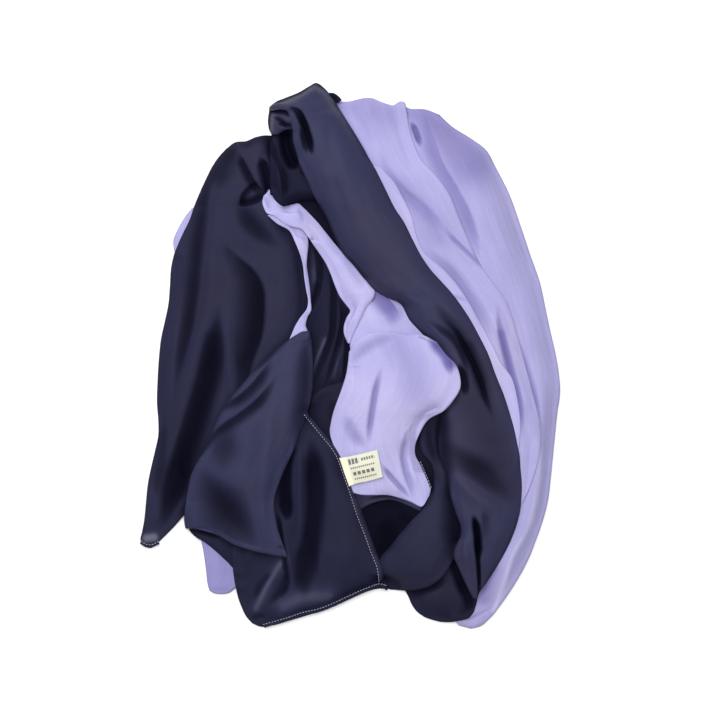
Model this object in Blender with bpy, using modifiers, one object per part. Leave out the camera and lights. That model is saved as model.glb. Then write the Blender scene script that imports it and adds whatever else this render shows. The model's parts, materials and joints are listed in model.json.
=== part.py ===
"""Modal scarf, looped once over itself and dropped in a flat heap.

A long double-faced cloth, navy on its face and lilac on its reverse, lies on a table.
Each stretch that shows is its own walled piece, laid in order from the lowest to the
highest, and the layers that never show are one rounded core with layered edges.

Frame: metres, +Z up, the heap stands on Z = 0 and is centred on the origin.
Plan distances in the tables are millimetres right of and below the layout's datum
corner, heights are millimetres above the table.
"""

from typing import NamedTuple

import bmesh
import bpy
import numpy as np
from mathutils import Vector
from mathutils.bvhtree import BVHTree

MM = 0.001

# Driving dimensions
DATUM = np.array((-0.3505, 0.35595))  # the datum corner, from the middle of the heap
CLOTH_WALL = 0.0014  # modal twill with its nap, as it lies
LABEL_WALL = 0.0010  # woven label, folded once
LAY_GAP = 0.0005  # between a stretch and what it lies on
TABLE_GAP = 0.0003  # between a rim that reaches the table and the table
EDGE_CLEARANCE = 0.0010  # room kept beside a wall's rim

# How the laying of one stretch on the others is worked out
SAMPLES_PER_EDGE = 5
LAY_ROUNDS = 60
SETTLE_PASSES = 3
RAY_START = 0.3

# The hidden layers
CORE_POINTS = 44
CORE_CENTRE = (345.0, 352.0)
CORE_SIDE = ((3.0, 0.0), (0.0, 1.6), (3.0, 3.2), (5.0, 4.6), (9.0, 6.2), (11.0, 7.6), (16.0, 9.0))
CORE_DOME = (0.84, 0.70, 0.54, 0.37, 0.19)
CORE_RIM_HEIGHT = 9.0


class Cloth(NamedTuple):
    """A face of the cloth: its colour, how rough it is."""

    name: str
    colour: tuple
    roughness: float


NAVY = Cloth("navy face", (0.051, 0.051, 0.103, 1.0), 0.62)
LILAC = Cloth("lilac reverse", (0.470, 0.440, 0.740, 1.0), 0.66)
CREAM = Cloth("cream woven label", (0.700, 0.690, 0.560, 1.0), 0.75)


class Section(NamedTuple):
    """One cross-section of a stretch, from its left edge to its right edge."""

    left: tuple  # mm right of and below the datum corner
    right: tuple
    heights: tuple  # mm of the underside, at the left edge, the middle and the right edge
    bow: tuple = (0.0, 0.0)  # mm that the middle swings right and down


class Fold(NamedTuple):
    """A ridge, or a trough where its rise is negative, that runs along a route."""

    route: tuple  # mm right of and below the datum corner
    rise: float  # mm
    left_reach: float  # mm that it spreads to the left of its route
    right_reach: float


class Stretch(NamedTuple):
    """A stretch of cloth that shows: its name, face, grid, sections and folds."""

    name: str
    cloth: Cloth
    rows: int
    columns: int
    sections: tuple
    folds: tuple = ()
    fullness: float = 3.0  # how late the section turns down towards its edges
    wall: float = CLOTH_WALL


class Mound(NamedTuple):
    """A soft rise of the hidden layers along a line."""

    start: tuple  # mm right of and below the datum corner
    end: tuple
    height: float  # mm
    reach: float  # mm


MOUNDS = (
    Mound((305, 130), (395, 255), 21, 31),
    Mound((395, 255), (465, 400), 15, 28),
    Mound((465, 400), (480, 530), 9, 28),
    Mound((245, 180), (215, 330), 14, 38),
    Mound((215, 330), (195, 430), 7, 28),
    Mound((285, 390), (250, 490), 15, 34),
    Mound((330, 500), (325, 545), 7, 48),
    Mound((430, 160), (505, 290), 10, 32),
    Mound((505, 290), (520, 440), 7, 24),
    Mound((420, 505), (415, 550), 8, 30),
    Mound((400, 375), (385, 450), 9, 36),
)

CORE_OUTLINE = (
    (318, 112), (350, 124), (385, 124), (425, 132), (460, 155), (482, 192), (500, 240),
    (517, 290), (528, 340), (533, 390), (530, 440), (522, 490), (506, 535), (486, 572),
    (462, 594), (435, 598), (405, 574), (370, 570), (330, 586), (288, 600), (262, 588),
    (244, 552), (212, 512), (188, 482), (180, 445), (178, 400), (181, 350), (187, 300),
    (194, 258), (209, 212), (228, 180), (252, 162), (277, 152), (292, 128),
)

STRETCHES = (
    Stretch("lilac_tail", LILAC, 6, 5, (
        Section((193, 508), (268, 508), (6, 8, 8)),
        Section((199, 535), (264, 540), (1, 5, 6)),
        Section((203.5, 558), (260, 563), (0.4, 4, 4)),
        Section((206.5, 578), (248, 580), (0.4, 3, 2)),
        Section((211, 591.5), (233, 590.5), (0.4, 1, 0.4), (0, 2)),
    )),
    Stretch("wing_reverse", LILAC, 6, 3, (
        Section((196, 200), (215, 204), (4, 8, 12)),
        Section((184, 219), (208, 225), (0.6, 6, 10)),
        Section((175.5, 235), (203, 243), (0.6, 5, 9)),
        Section((173, 252), (198, 262), (0.6, 4, 8)),
    )),
    Stretch("outer_drape", LILAC, 22, 7, (
        Section((400, 105), (441, 114.5), (4, 3, 0.6), (2, -2)),
        Section((402, 128), (470, 138), (13, 14, 0.6)),
        Section((413, 160), (496, 168), (16, 19, 0.6)),
        Section((424, 196), (511, 198), (16, 20, 0.6)),
        Section((440, 240), (526, 241), (15, 19, 0.6)),
        Section((460, 281), (540, 283), (14, 18, 0.6)),
        Section((474, 320), (548.5, 322), (13, 18, 0.6)),
        Section((484, 360), (556.8, 360), (13, 18, 0.6)),
        Section((494, 395), (560, 395), (12, 17, 0.6)),
        Section((499, 432), (555.5, 432), (12, 16, 0.6)),
        Section((500, 470), (551.5, 472), (10, 15, 0.6)),
        Section((498, 505), (546, 507), (9, 14, 0.6)),
        Section((490, 538), (536, 541), (7, 11, 0.6)),
        Section((478, 564), (524, 568), (5, 9, 0.6)),
        Section((466, 590), (508, 594), (2, 6, 0.6)),
        Section((459, 606), (498, 609), (0.6, 4, 0.6)),
        Section((456, 618), (485, 622.5), (0.4, 2, 0.5)),
        Section((462, 626.5), (474, 628.3), (0.4, 0.6, 0.4)),
    ), (
        Fold(((425, 113), (447, 168), (468, 218), (484, 262)), -4, 8, 12),
        Fold(((538, 440), (537, 500), (522, 545), (500, 600)), 4, 10, 8),
    ), 3.4),
    Stretch("inner_drape", LILAC, 20, 6, (
        Section((328, 103), (405, 103), (5, 3, 3), (2, -6.5)),
        Section((342, 125), (409, 126), (16, 18, 14)),
        Section((357, 160), (422, 161), (22, 24, 18)),
        Section((371, 195), (449, 195), (22, 25, 18)),
        Section((384, 226), (461, 226), (21, 24, 17)),
        Section((400, 256), (475, 256), (19, 22, 17)),
        Section((428, 291), (497, 291), (17, 21, 16)),
        Section((450, 325), (514, 325), (15, 19, 16)),
        Section((468, 365), (524.5, 365), (13, 18, 15)),
        Section((485, 400), (534, 400), (12, 16, 14)),
        Section((497, 435), (540, 434), (11, 14, 13)),
        Section((503, 470), (538, 470), (9, 12, 12)),
        Section((503, 500), (530, 503), (7, 9, 9)),
    ), (
        Fold(((385, 155), (396, 180), (415, 200), (435, 222), (470, 260)), -4, 10, 14),
        Fold(((405, 150), (425, 175), (450, 205), (465, 240)), 3, 12, 8),
        Fold(((500, 312), (503, 345), (512, 385), (519, 435)), -6, 7, 6),
    ), 3.0),
    Stretch("drape_strip", LILAC, 12, 3, (
        Section((404, 236), (415, 244), (22, 23, 22)),
        Section((420, 262), (442, 268), (22, 24, 22)),
        Section((440, 286), (466, 297), (22, 24, 21)),
        Section((458, 312), (487, 325), (21, 23, 20)),
        Section((474, 340), (501, 355), (20, 22, 19)),
        Section((488, 370), (510, 377), (18, 20, 17)),
        Section((497, 398), (516.5, 400), (16, 18, 15)),
        Section((503, 422), (519, 422), (14, 16, 14)),
        Section((508, 442), (518.5, 443), (12, 13, 12)),
    ), (), 2.6),
    Stretch("knot_back_fold", NAVY, 4, 3, (
        Section((325, 94.5), (336, 93.5), (3, 4, 2)),
        Section((324, 103), (342, 102), (7, 8, 4.5)),
        Section((327, 116), (346, 114), (14, 15, 11)),
    )),
    Stretch("left_wing", NAVY, 22, 9, (
        Section((224, 150), (272, 136), (0.6, 3, 5), (-1, -3)),
        Section((211, 170), (279, 164), (1, 17, 19)),
        Section((199, 194), (279, 195), (1, 20, 18)),
        Section((187, 222), (284, 223), (1, 20, 15)),
        Section((174, 255), (303, 252), (1, 19, 13)),
        Section((169.5, 287), (310, 286), (0.8, 18, 12)),
        Section((164, 323), (310, 320), (0.8, 17, 12)),
        Section((159, 358), (300, 349), (0.8, 16, 12)),
        Section((157, 395), (276, 382), (0.8, 14, 11)),
        Section((158.4, 430), (252, 412), (0.8, 12, 10)),
        Section((151, 468), (228, 446), (0.8, 9, 9)),
        Section((146, 503), (207, 480), (0.6, 6, 7)),
        Section((143, 526), (190, 507), (0.5, 4, 3)),
        Section((140.5, 541), (172, 528.5), (0.5, 1.2, 0.6)),
        Section((145, 547.5), (157, 544), (0.4, 0.5, 0.4)),
    ), (
        Fold(((217, 165), (216, 240), (210, 310), (195, 352), (180, 410)), 4, 12, 12),
        Fold(((196, 225), (200, 280), (196, 330)), -5, 10, 12),
        Fold(((240, 208), (258, 250), (252, 300), (248, 345), (246, 385)), -7, 12, 10),
        Fold(((216, 340), (210, 380), (196, 425), (188, 480), (186, 515)), -6, 10, 10),
    ), 4.0),
    Stretch("inner_pleats", NAVY, 10, 5, (
        Section((296, 245), (326, 252), (10, 11, 11)),
        Section((300, 278), (343, 284), (10, 11, 11)),
        Section((300, 312), (352, 316), (10, 11, 11)),
        Section((300, 345), (355, 346), (10, 11, 11)),
        Section((300, 378), (350, 378), (11, 11, 11)),
        Section((300, 402), (345, 400), (11, 11, 11)),
    ), (
        Fold(((331, 300), (333, 345), (328, 390)), 3, 6, 6),
    )),
    Stretch("reverse_sliver", LILAC, 12, 2, (
        Section((272, 213), (296, 215), (14, 17, 18)),
        Section((281, 225), (309, 238), (15, 17, 17)),
        Section((297, 248), (311, 252), (15, 17, 16)),
        Section((303, 267), (312, 270), (14, 16, 15)),
        Section((306.5, 293), (313, 294), (14, 15, 15)),
        Section((307, 312), (314, 314), (14, 16, 15)),
        Section((297, 324), (313, 326), (14, 17, 15)),
        Section((290, 340), (310, 337), (14, 16, 15)),
    )),
    Stretch("lilac_upper", LILAC, 7, 6, (
        Section((370, 286), (396, 286), (17, 18, 18)),
        Section((362, 308), (420, 310), (17, 19, 19)),
        Section((352, 326), (440, 330), (16, 19, 18)),
        Section((347, 346), (450, 350), (15, 18, 17)),
        Section((347, 364), (442, 366), (14, 16, 14)),
    ), (
        Fold(((384, 296), (397, 312), (415, 326)), -3, 6, 6),
    )),
    Stretch("lilac_strip", LILAC, 14, 4, (
        Section((266, 193), (300, 196), (17, 20, 20)),
        Section((263.5, 204), (308, 206), (18, 21, 21)),
        Section((270, 217), (320, 216), (18, 21, 21)),
        Section((290, 227.5), (331, 229), (18, 21, 20)),
        Section((308, 239), (342, 243), (18, 21, 19)),
        Section((321, 258), (357, 260), (17, 21, 18)),
        Section((331, 277), (374, 279), (16, 21, 18)),
        Section((340, 297), (378, 294), (16, 21, 19)),
        Section((347, 313), (367, 308), (16, 20, 19)),
        Section((343, 328), (358, 324), (15, 18, 18)),
        Section((347, 345), (350.5, 343), (15, 16, 16)),
    )),
    Stretch("navy_tongue", NAVY, 6, 4, (
        Section((318, 391), (348, 380), (13, 15, 15)),
        Section((310, 408), (348, 400), (12, 16, 15)),
        Section((308, 432), (347, 426), (12, 16, 14)),
        Section((314, 452), (352, 450), (12, 15, 13)),
        Section((328, 470), (360, 472), (12, 13, 12)),
    )),
    Stretch("small_fold", NAVY, 5, 4, (
        Section((194, 505), (262, 508), (6, 9, 9)),
        Section((189.5, 530), (258, 538), (5, 8, 8)),
        Section((203, 541), (248, 560), (4, 7, 6)),
        Section((217, 553), (240, 572), (3, 5, 4)),
    )),
    Stretch("lower_hollow", NAVY, 6, 5, (
        Section((342, 480), (436, 486), (12, 13, 13)),
        Section((348, 506), (430, 508), (11, 12, 12)),
        Section((355, 530), (416, 530), (10, 11, 11)),
        Section((365, 552), (398, 552), (9, 10, 10)),
        Section((374, 572), (392, 572), (8, 9, 9)),
    )),
    Stretch("lower_fold", NAVY, 4, 6, (
        Section((346, 470), (434, 474), (16, 17, 17)),
        Section((351, 490), (428, 494), (16, 18, 17), (0, -3)),
        Section((358, 510), (418, 509), (14, 16, 15), (0, -9)),
    )),
    Stretch("bottom_lobe", NAVY, 8, 6, (
        Section((406, 545), (472, 545), (12, 14, 14)),
        Section((403, 570), (476, 570), (9, 13, 13)),
        Section((404.5, 589), (477, 592), (3, 12, 10)),
        Section((411, 604), (475.5, 606), (0.6, 10, 4)),
        Section((422, 615.5), (470, 616), (0.5, 6, 1)),
        Section((434, 621), (457, 621.5), (0.4, 0.8, 0.4)),
    ), (
        Fold(((462, 588), (466, 612)), -3, 6, 6),
    ), 3.4),
    Stretch("front_lobe", NAVY, 16, 6, (
        Section((426, 420), (450, 406), (16, 18, 18)),
        Section((418, 436), (446, 428), (15, 19, 18)),
        Section((421, 452), (446, 448), (14, 19, 18)),
        Section((431, 466), (449, 468), (14, 20, 18)),
        Section((433, 482), (454, 486), (14, 22, 18)),
        Section((428, 500), (461, 508), (14, 24, 18)),
        Section((414, 517), (466, 526), (13, 25, 18)),
        Section((401, 532), (462, 540), (12, 25, 18)),
        Section((389, 547), (457, 553), (10, 24, 17)),
        Section((380, 560), (452, 565), (8, 22, 17)),
        Section((379, 572), (442, 577), (4, 18, 17)),
        Section((384, 585), (428, 587), (1, 8, 16)),
        Section((391, 590), (408, 590), (0.6, 2, 6)),
    ), (), 2.8),
    Stretch("neck_panel", NAVY, 9, 6, (
        Section((273, 136), (304, 132), (14, 24, 26)),
        Section((270.5, 150), (308, 148), (20, 27, 28)),
        Section((270.5, 170), (316, 168), (22, 29, 28)),
        Section((270.5, 187), (326, 186), (22, 28, 27)),
        Section((274, 198), (332, 197), (21, 26, 26)),
        Section((283, 206.5), (334, 203), (21, 23, 24), (-2, -1)),
    ), (
        Fold(((286, 130), (285, 148), (292, 164)), -8, 6, 6),
        Fold(((271, 142), (274, 160), (283, 176), (284, 198)), -3, 4, 4),
    )),
    Stretch("corner_panel", NAVY, 14, 9, (
        Section((290, 418), (309, 416), (19, 20, 18)),
        Section((282, 447), (333, 446), (18, 21, 17)),
        Section((265, 478), (348, 478), (15, 20, 15)),
        Section((242, 510), (360, 507), (11, 19, 13)),
        Section((232, 540), (371, 537), (6, 17, 11)),
        Section((232, 566), (380, 561), (1, 15, 8)),
        Section((235.5, 588), (383, 574), (0.8, 11, 5)),
        Section((243, 609), (386, 582), (0.8, 6, 3), (1, 3)),
        Section((252, 624), (388, 589), (0.4, 0.6, 2.4), (1, 6)),
    ), (
        Fold(((298, 462), (300, 510), (300, 560)), 3, 8, 9),
        Fold(((318, 455), (315, 520), (308, 575)), -4, 8, 10),
        Fold(((284, 455), (284, 485), (281, 512)), -5, 6, 6),
    ), 3.2),
    Stretch("front_flap", NAVY, 16, 8, (
        Section((304, 331), (310, 332), (16, 17, 17)),
        Section((283, 345), (313, 350), (17, 22, 19)),
        Section((262, 365), (314, 374), (18, 27, 21)),
        Section((240, 387), (313, 398), (17, 29, 23)),
        Section((222, 412), (307, 417), (15, 29, 24)),
        Section((211, 438), (299, 438), (13, 28, 24)),
        Section((198, 461), (289, 462), (11, 27, 24)),
        Section((189.5, 482), (280, 485), (9, 25, 24)),
        Section((186, 504), (275, 503), (8, 23, 23)),
        Section((185, 518), (279, 524), (8, 21, 21)),
        Section((187, 528), (288, 556), (6, 14, 17), (-1, 2)),
    ), (
        Fold(((230, 403), (247, 396), (266, 376)), -3, 8, 8),
        Fold(((225, 440), (224, 470), (223, 508)), -5, 16, 18),
        Fold(((267, 440), (264, 500), (266, 545)), 3, 12, 10),
    ), 3.0),
    Stretch("main_band", NAVY, 28, 8, (
        Section((283, 99.5), (319, 84), (3, 2, 3), (0, -2)),
        Section((283, 107), (330, 96), (22, 25, 14)),
        Section((289, 116), (342, 113), (30, 36, 24)),
        Section((292.5, 129), (352, 130), (31, 40, 27)),
        Section((294, 146), (363, 149), (31, 42, 28)),
        Section((300, 166), (375, 170), (31, 42, 29)),
        Section((310, 188), (386, 192), (30, 41, 29)),
        Section((320, 208), (397, 214), (28, 40, 29)),
        Section((335, 240), (414, 243), (25, 38, 28)),
        Section((353, 265), (430, 267), (23, 36, 27)),
        Section((374, 290), (448, 290), (23, 34, 26)),
        Section((400, 304), (463, 310), (23, 33, 25)),
        Section((417, 328), (476, 332), (22, 31, 24)),
        Section((436, 348), (487, 352), (21, 29, 23)),
        Section((441, 372), (495.5, 376), (20, 28, 22)),
        Section((440, 396), (503.5, 397), (20, 27, 21)),
        Section((438.5, 420), (511, 420), (20, 27, 20)),
        Section((438.5, 442), (516.5, 443), (21, 26, 18)),
        Section((443, 464), (520, 467), (21, 25, 17)),
        Section((449, 488), (521, 492), (21, 26, 16)),
        Section((455, 510), (518.5, 514), (21, 26, 15)),
        Section((460, 530), (510, 540), (21, 24, 13)),
        Section((453, 553), (499, 561), (20, 21, 10)),
        Section((460, 570), (489, 578), (17, 17, 8)),
        Section((468, 588), (479, 590), (13, 13, 7)),
        Section((473, 598), (477, 597), (10, 10, 7)),
    ), (
        Fold(((286, 110), (300, 117), (306, 130), (310, 145)), -7, 5, 6),
        Fold(((322, 130), (345, 190), (370, 240)), 3, 16, 16),
        Fold(((430, 300), (450, 330), (472, 357), (485, 395), (497, 430)), -4, 10, 12),
        Fold(((445, 452), (472, 463), (500, 490)), -3, 8, 8),
        Fold(((475, 512), (476, 540), (477, 585)), -7, 6, 6),
    ), 3.0),
    Stretch("knot_curl", NAVY, 7, 5, (
        Section((276, 102), (291, 96), (2, 3, 4), (-1, -1)),
        Section((269.5, 112), (297, 108), (6, 26, 30)),
        Section((268, 122), (295, 119), (7, 29, 32)),
        Section((270, 132), (293, 128.5), (9, 28, 31)),
        Section((274.5, 136), (287, 132), (13, 25, 28)),
    )),
    Stretch("lilac_billow", LILAC, 14, 8, (
        Section((350, 354), (441, 346), (16, 22, 20), (-5, -15)),
        Section((349, 364), (457, 368), (16, 25, 29)),
        Section((346, 378), (460.5, 385), (16, 26, 30)),
        Section((339, 397), (455, 398), (16, 26, 29)),
        Section((332.5, 414), (440, 412), (17, 26, 25)),
        Section((330, 433), (424, 427), (17, 25, 22)),
        Section((334, 448), (414, 445), (16, 24, 20)),
        Section((341, 466), (417, 465), (16, 23, 20)),
        Section((347, 480), (423, 484), (16, 22, 20)),
        Section((353, 490), (427, 497), (16, 20, 19), (0, -3)),
        Section((365, 494.5), (423, 505.5), (16, 18, 18), (1, -4)),
    ), (
        Fold(((385, 362), (378, 385), (371, 420), (368, 448)), -3, 10, 8),
        Fold(((408, 430), (404, 455), (414, 495)), -3, 6, 6),
    ), 3.0),
    Stretch("woven_label", CREAM, 3, 4, (
        Section((339.6, 457.7), (377.4, 449.1), (20, 26, 26)),
        Section((344.2, 471.8), (380, 463), (20, 26, 26)),
        Section((349.2, 485.5), (382.7, 476.4), (19, 24, 25)),
    ), (), 4.0, LABEL_WALL),
)


def plan(points):
    """Plan distances in millimetres from the datum corner, as metres in the part's frame."""
    points = np.asarray(points, float) * MM
    return np.stack((DATUM[0] + points[..., 0], DATUM[1] - points[..., 1]), axis=-1)


def through(values, stations, wanted):
    """A smooth curve through the values at their stations, read at the wanted stations."""
    values = np.asarray(values, float)
    steps = np.diff(stations)
    slopes = np.diff(values, axis=0) / steps[:, None]
    tangents = np.empty_like(values)
    tangents[0], tangents[-1] = slopes[0], slopes[-1]
    ahead, behind = steps[1:, None], steps[:-1, None]
    tangents[1:-1] = (slopes[:-1] * ahead + slopes[1:] * behind) / (ahead + behind)
    index = np.clip(np.searchsorted(stations, wanted, side="right") - 1, 0, len(steps) - 1)
    step = steps[index][:, None]
    t = ((wanted - stations[index]) / steps[index])[:, None]
    return (
        (2 * t**3 - 3 * t**2 + 1) * values[index]
        + (t**3 - 2 * t**2 + t) * step * tangents[index]
        + (3 * t**2 - 2 * t**3) * values[index + 1]
        + (t**3 - t**2) * step * tangents[index + 1]
    )


def smooth_step(value):
    value = np.clip(value, 0.0, 1.0)
    return value * value * (3.0 - 2.0 * value)


def fold_rise(fold, points):
    """Height that a fold adds at plan points, in metres, faded out at the ends of its route."""
    route = plan(fold.route)
    lengths = np.linalg.norm(np.diff(route, axis=0), axis=1)
    before = np.concatenate(((0.0,), np.cumsum(lengths)))
    nearest = np.full(points.shape[:-1], np.inf)
    along = np.zeros_like(nearest)
    side = np.zeros_like(nearest)
    for start, end, length, done in zip(route, route[1:], lengths, before):
        ahead = (end - start) / length
        offset = points - start
        run = np.clip(offset @ ahead, 0.0, length)
        apart = np.linalg.norm(offset - run[..., None] * ahead, axis=-1)
        turn = ahead[0] * offset[..., 1] - ahead[1] * offset[..., 0]
        closer = apart < nearest
        nearest = np.where(closer, apart, nearest)
        along = np.where(closer, done + run, along)
        side = np.where(closer, turn, side)
    reach = np.where(side > 0, fold.left_reach, fold.right_reach) * MM
    fade_length = 0.25 * before[-1]
    fade = smooth_step(np.minimum(along, before[-1] - along) / fade_length + 0.15)
    return fold.rise * MM * fade * np.exp(-((nearest / reach) ** 2))


def stretch_points(stretch):
    """The underside of a stretch before it is laid: a grid of points, a row for each section."""
    left = np.array([section.left for section in stretch.sections], float)
    right = np.array([section.right for section in stretch.sections], float)
    middles = (left + right) / 2
    stations = np.concatenate(((0.0,), np.cumsum(np.linalg.norm(np.diff(middles, axis=0), axis=1))))
    wanted = np.linspace(0.0, stations[-1], stretch.rows + 1)
    left = through(left, stations, wanted)[:, None]
    right = through(right, stations, wanted)[:, None]
    bow = through([section.bow for section in stretch.sections], stations, wanted)[:, None]
    heights = through([section.heights for section in stretch.sections], stations, wanted)
    even = np.linspace(0.0, 1.0, stretch.columns + 1)
    across = 0.55 * even + 0.45 * (0.5 - 0.5 * np.cos(np.pi * even))
    across = across[None, :, None]
    flat = left + (right - left) * across + bow * (4 * across * (1 - across))
    points = np.empty(flat.shape[:2] + (3,))
    points[..., :2] = plan(flat)
    share = across[..., 0]
    edge = heights[:, :1] + (heights[:, 2:] - heights[:, :1]) * share
    crown = heights[:, 1:2] - (heights[:, :1] + heights[:, 2:]) / 2
    points[..., 2] = (edge + crown * (1 - np.abs(2 * share - 1) ** stretch.fullness)) * MM
    inside = smooth_step(np.minimum(share, 1 - share) / 0.12)
    for fold in stretch.folds:
        points[..., 2] += fold_rise(fold, points[..., :2]) * inside
    return points


def grid_triangles(rows, columns):
    """Two triangles for each cell of a grid, as indices into its points."""
    corner = (np.arange(rows)[:, None] * (columns + 1) + np.arange(columns)).reshape(-1)
    up = corner + columns + 1
    return np.concatenate((
        np.stack((corner, up, up + 1), axis=1),
        np.stack((corner, up + 1, corner + 1), axis=1),
    ))


def highest_below(x, y, trees):
    """The highest point of the solids already laid, near a plan point."""
    highest = 0.0
    for dx, dy in ((0, 0), (1, 0), (-1, 0), (0, 1), (0, -1)):
        start = Vector((x + dx * EDGE_CLEARANCE, y + dy * EDGE_CLEARANCE, RAY_START))
        for tree, low, high in trees:
            if not (low[0] <= start.x <= high[0] and low[1] <= start.y <= high[1]):
                continue
            hit = tree.ray_cast(start, Vector((0, 0, -1)))[0]
            if hit is not None:
                highest = max(highest, hit.z)
    return highest


def floor_under(points, triangles, shares, trees):
    """The lowest that each sample point of a grid's triangles may lie."""
    samples = np.einsum("sk,tkc->tsc", shares, points[triangles][..., :2])
    known = {}
    floor = np.empty(samples.shape[:2])
    for index in np.ndindex(floor.shape):
        x, y = samples[index]
        key = (round(x, 5), round(y, 5))
        if key not in known:
            below = highest_below(x, y, trees)
            known[key] = below + LAY_GAP if below > 0 else TABLE_GAP
        floor[index] = known[key]
    return floor


def raise_clear(points, triangles, shares, floor):
    """Raises a grid's points until every sample point of its triangles clears its floor."""
    strength = shares / (shares**2).sum(axis=1, keepdims=True)
    for _ in range(LAY_ROUNDS):
        heights = np.einsum("sk,tk->ts", shares, points[triangles][..., 2])
        short = np.maximum(floor - heights, 0.0)
        if short.max() < 1e-6:
            break
        raises = (short[..., None] * strength[None]).max(axis=1)
        lift = np.zeros(len(points))
        np.maximum.at(lift, triangles.reshape(-1), raises.reshape(-1))
        points[:, 2] += lift * 1.02


def spread_out(lift):
    """A grid of lifts averaged with its neighbours, so that cloth bridges what it lies over."""
    padded = np.pad(lift, 1, mode="edge")
    sides = padded[:-2, 1:-1] + padded[2:, 1:-1] + padded[1:-1, :-2] + padded[1:-1, 2:]
    return np.maximum(lift, 0.0) * 0.4 + sides * 0.15


def lay(points, trees):
    """Raises a stretch's grid until its whole underside clears everything already laid."""
    triangles = grid_triangles(points.shape[0] - 1, points.shape[1] - 1)
    shares = []
    for i in range(SAMPLES_PER_EDGE + 1):
        for j in range(SAMPLES_PER_EDGE + 1 - i):
            shares.append((i, j, SAMPLES_PER_EDGE - i - j))
    shares = np.array(shares, float) / SAMPLES_PER_EDGE
    flat = points.reshape(-1, 3).copy()
    floor = floor_under(flat, triangles, shares, trees)
    raise_clear(flat, triangles, shares, floor)
    for _ in range(SETTLE_PASSES):
        lift = (flat[:, 2] - points.reshape(-1, 3)[:, 2]).reshape(points.shape[:2])
        flat[:, 2] = points.reshape(-1, 3)[:, 2] + spread_out(lift).reshape(-1)
        raise_clear(flat, triangles, shares, floor)
    return flat.reshape(points.shape)


def material_of(cloth):
    """The material of a face of the cloth."""
    material = bpy.data.materials.get(cloth.name)
    if material is None:
        material = bpy.data.materials.new(cloth.name)
        material.use_nodes = True
        shader = material.node_tree.nodes["Principled BSDF"]
        shader.inputs["Base Color"].default_value = cloth.colour
        shader.inputs["Roughness"].default_value = cloth.roughness
        shader.inputs["Metallic"].default_value = 0.0
        material.diffuse_color = cloth.colour
    return material


def finish_object(name, mesh, cloth, collection):
    """Links a mesh as a named object with its material, shaded smooth."""
    mesh.materials.append(material_of(cloth))
    mesh.shade_smooth()
    obj = bpy.data.objects.new(name, mesh)
    collection.objects.link(obj)
    return obj


def make_stretch(stretch, trees, collection):
    """A walled stretch: its laid underside, thickened upwards."""
    points = lay(stretch_points(stretch), trees)
    form = bmesh.new()
    bmesh.ops.create_grid(form, x_segments=stretch.columns, y_segments=stretch.rows, size=1.0)
    form.verts.ensure_lookup_table()
    order = sorted(form.verts, key=lambda vert: (round(-vert.co.y, 5), round(vert.co.x, 5)))
    for vert, place in zip(order, points.reshape(-1, 3)):
        vert.co = place
    bmesh.ops.recalc_face_normals(form, faces=form.faces)
    if sum(face.normal.z for face in form.faces) < 0:
        bmesh.ops.reverse_faces(form, faces=form.faces)
    mesh = bpy.data.meshes.new(stretch.name)
    form.to_mesh(mesh)
    form.free()
    obj = finish_object(stretch.name, mesh, stretch.cloth, collection)
    wall = obj.modifiers.new("Wall", "SOLIDIFY")
    wall.thickness = stretch.wall
    wall.offset = 1.0
    return obj


def mound_height(points):
    """Height of the hidden layers over their rim at plan points, in millimetres."""
    total = np.zeros(points.shape[:-1])
    for mound in MOUNDS:
        start, end = np.array(mound.start, float), np.array(mound.end, float)
        line = end - start
        share = np.clip(((points - start) @ line) / (line @ line), 0.0, 1.0)
        apart = np.linalg.norm(points - start - share[..., None] * line, axis=-1)
        total += (mound.height * np.exp(-((apart / mound.reach) ** 2))) ** 3
    return total ** (1 / 3)


def core_rings():
    """The rings of the hidden layers, from the table up to the dome, in millimetres."""
    outline = np.array(CORE_OUTLINE + CORE_OUTLINE[:1], float)
    stations = np.concatenate(((0.0,), np.cumsum(np.linalg.norm(np.diff(outline, axis=0), axis=1))))
    wanted = np.linspace(0.0, stations[-1], CORE_POINTS, endpoint=False)
    outline = through(outline, stations, wanted)
    centre = np.array(CORE_CENTRE)
    inward = centre - outline
    reach = np.linalg.norm(inward, axis=1, keepdims=True)
    inward = inward / reach
    rings = []
    for inset, height in CORE_SIDE:
        ring = outline + inward * inset
        rings.append(np.column_stack((ring, np.full(len(ring), height))))
    last_inset = CORE_SIDE[-1][0]
    for share in CORE_DOME:
        ring = centre - inward * (reach - last_inset) * share
        rise = mound_height(ring) * smooth_step((1 - share) / 0.25)
        rings.append(np.column_stack((ring, CORE_RIM_HEIGHT + rise)))
    top = np.array((*centre, CORE_RIM_HEIGHT + mound_height(centre)))
    return rings, top


def make_core(collection):
    """The hidden layers as one rounded solid with layered edges and a flat underside."""
    rings, top = core_rings()
    form = bmesh.new()
    loops = []
    for ring in rings:
        places = np.column_stack((plan(ring[:, :2]), ring[:, 2] * MM))
        loops.append([form.verts.new(place) for place in places])
    form.faces.new(loops[0])
    for lower, upper in zip(loops, loops[1:]):
        for i, vert in enumerate(lower):
            after = (i + 1) % CORE_POINTS
            form.faces.new((vert, lower[after], upper[after], upper[i]))
    peak = form.verts.new((*plan(top[:2]), top[2] * MM))
    for i, vert in enumerate(loops[-1]):
        form.faces.new((vert, loops[-1][(i + 1) % CORE_POINTS], peak))
    bmesh.ops.recalc_face_normals(form, faces=form.faces)
    mesh = bpy.data.meshes.new("hidden_layers")
    form.to_mesh(mesh)
    form.free()
    return finish_object("hidden_layers", mesh, NAVY, collection)


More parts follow.
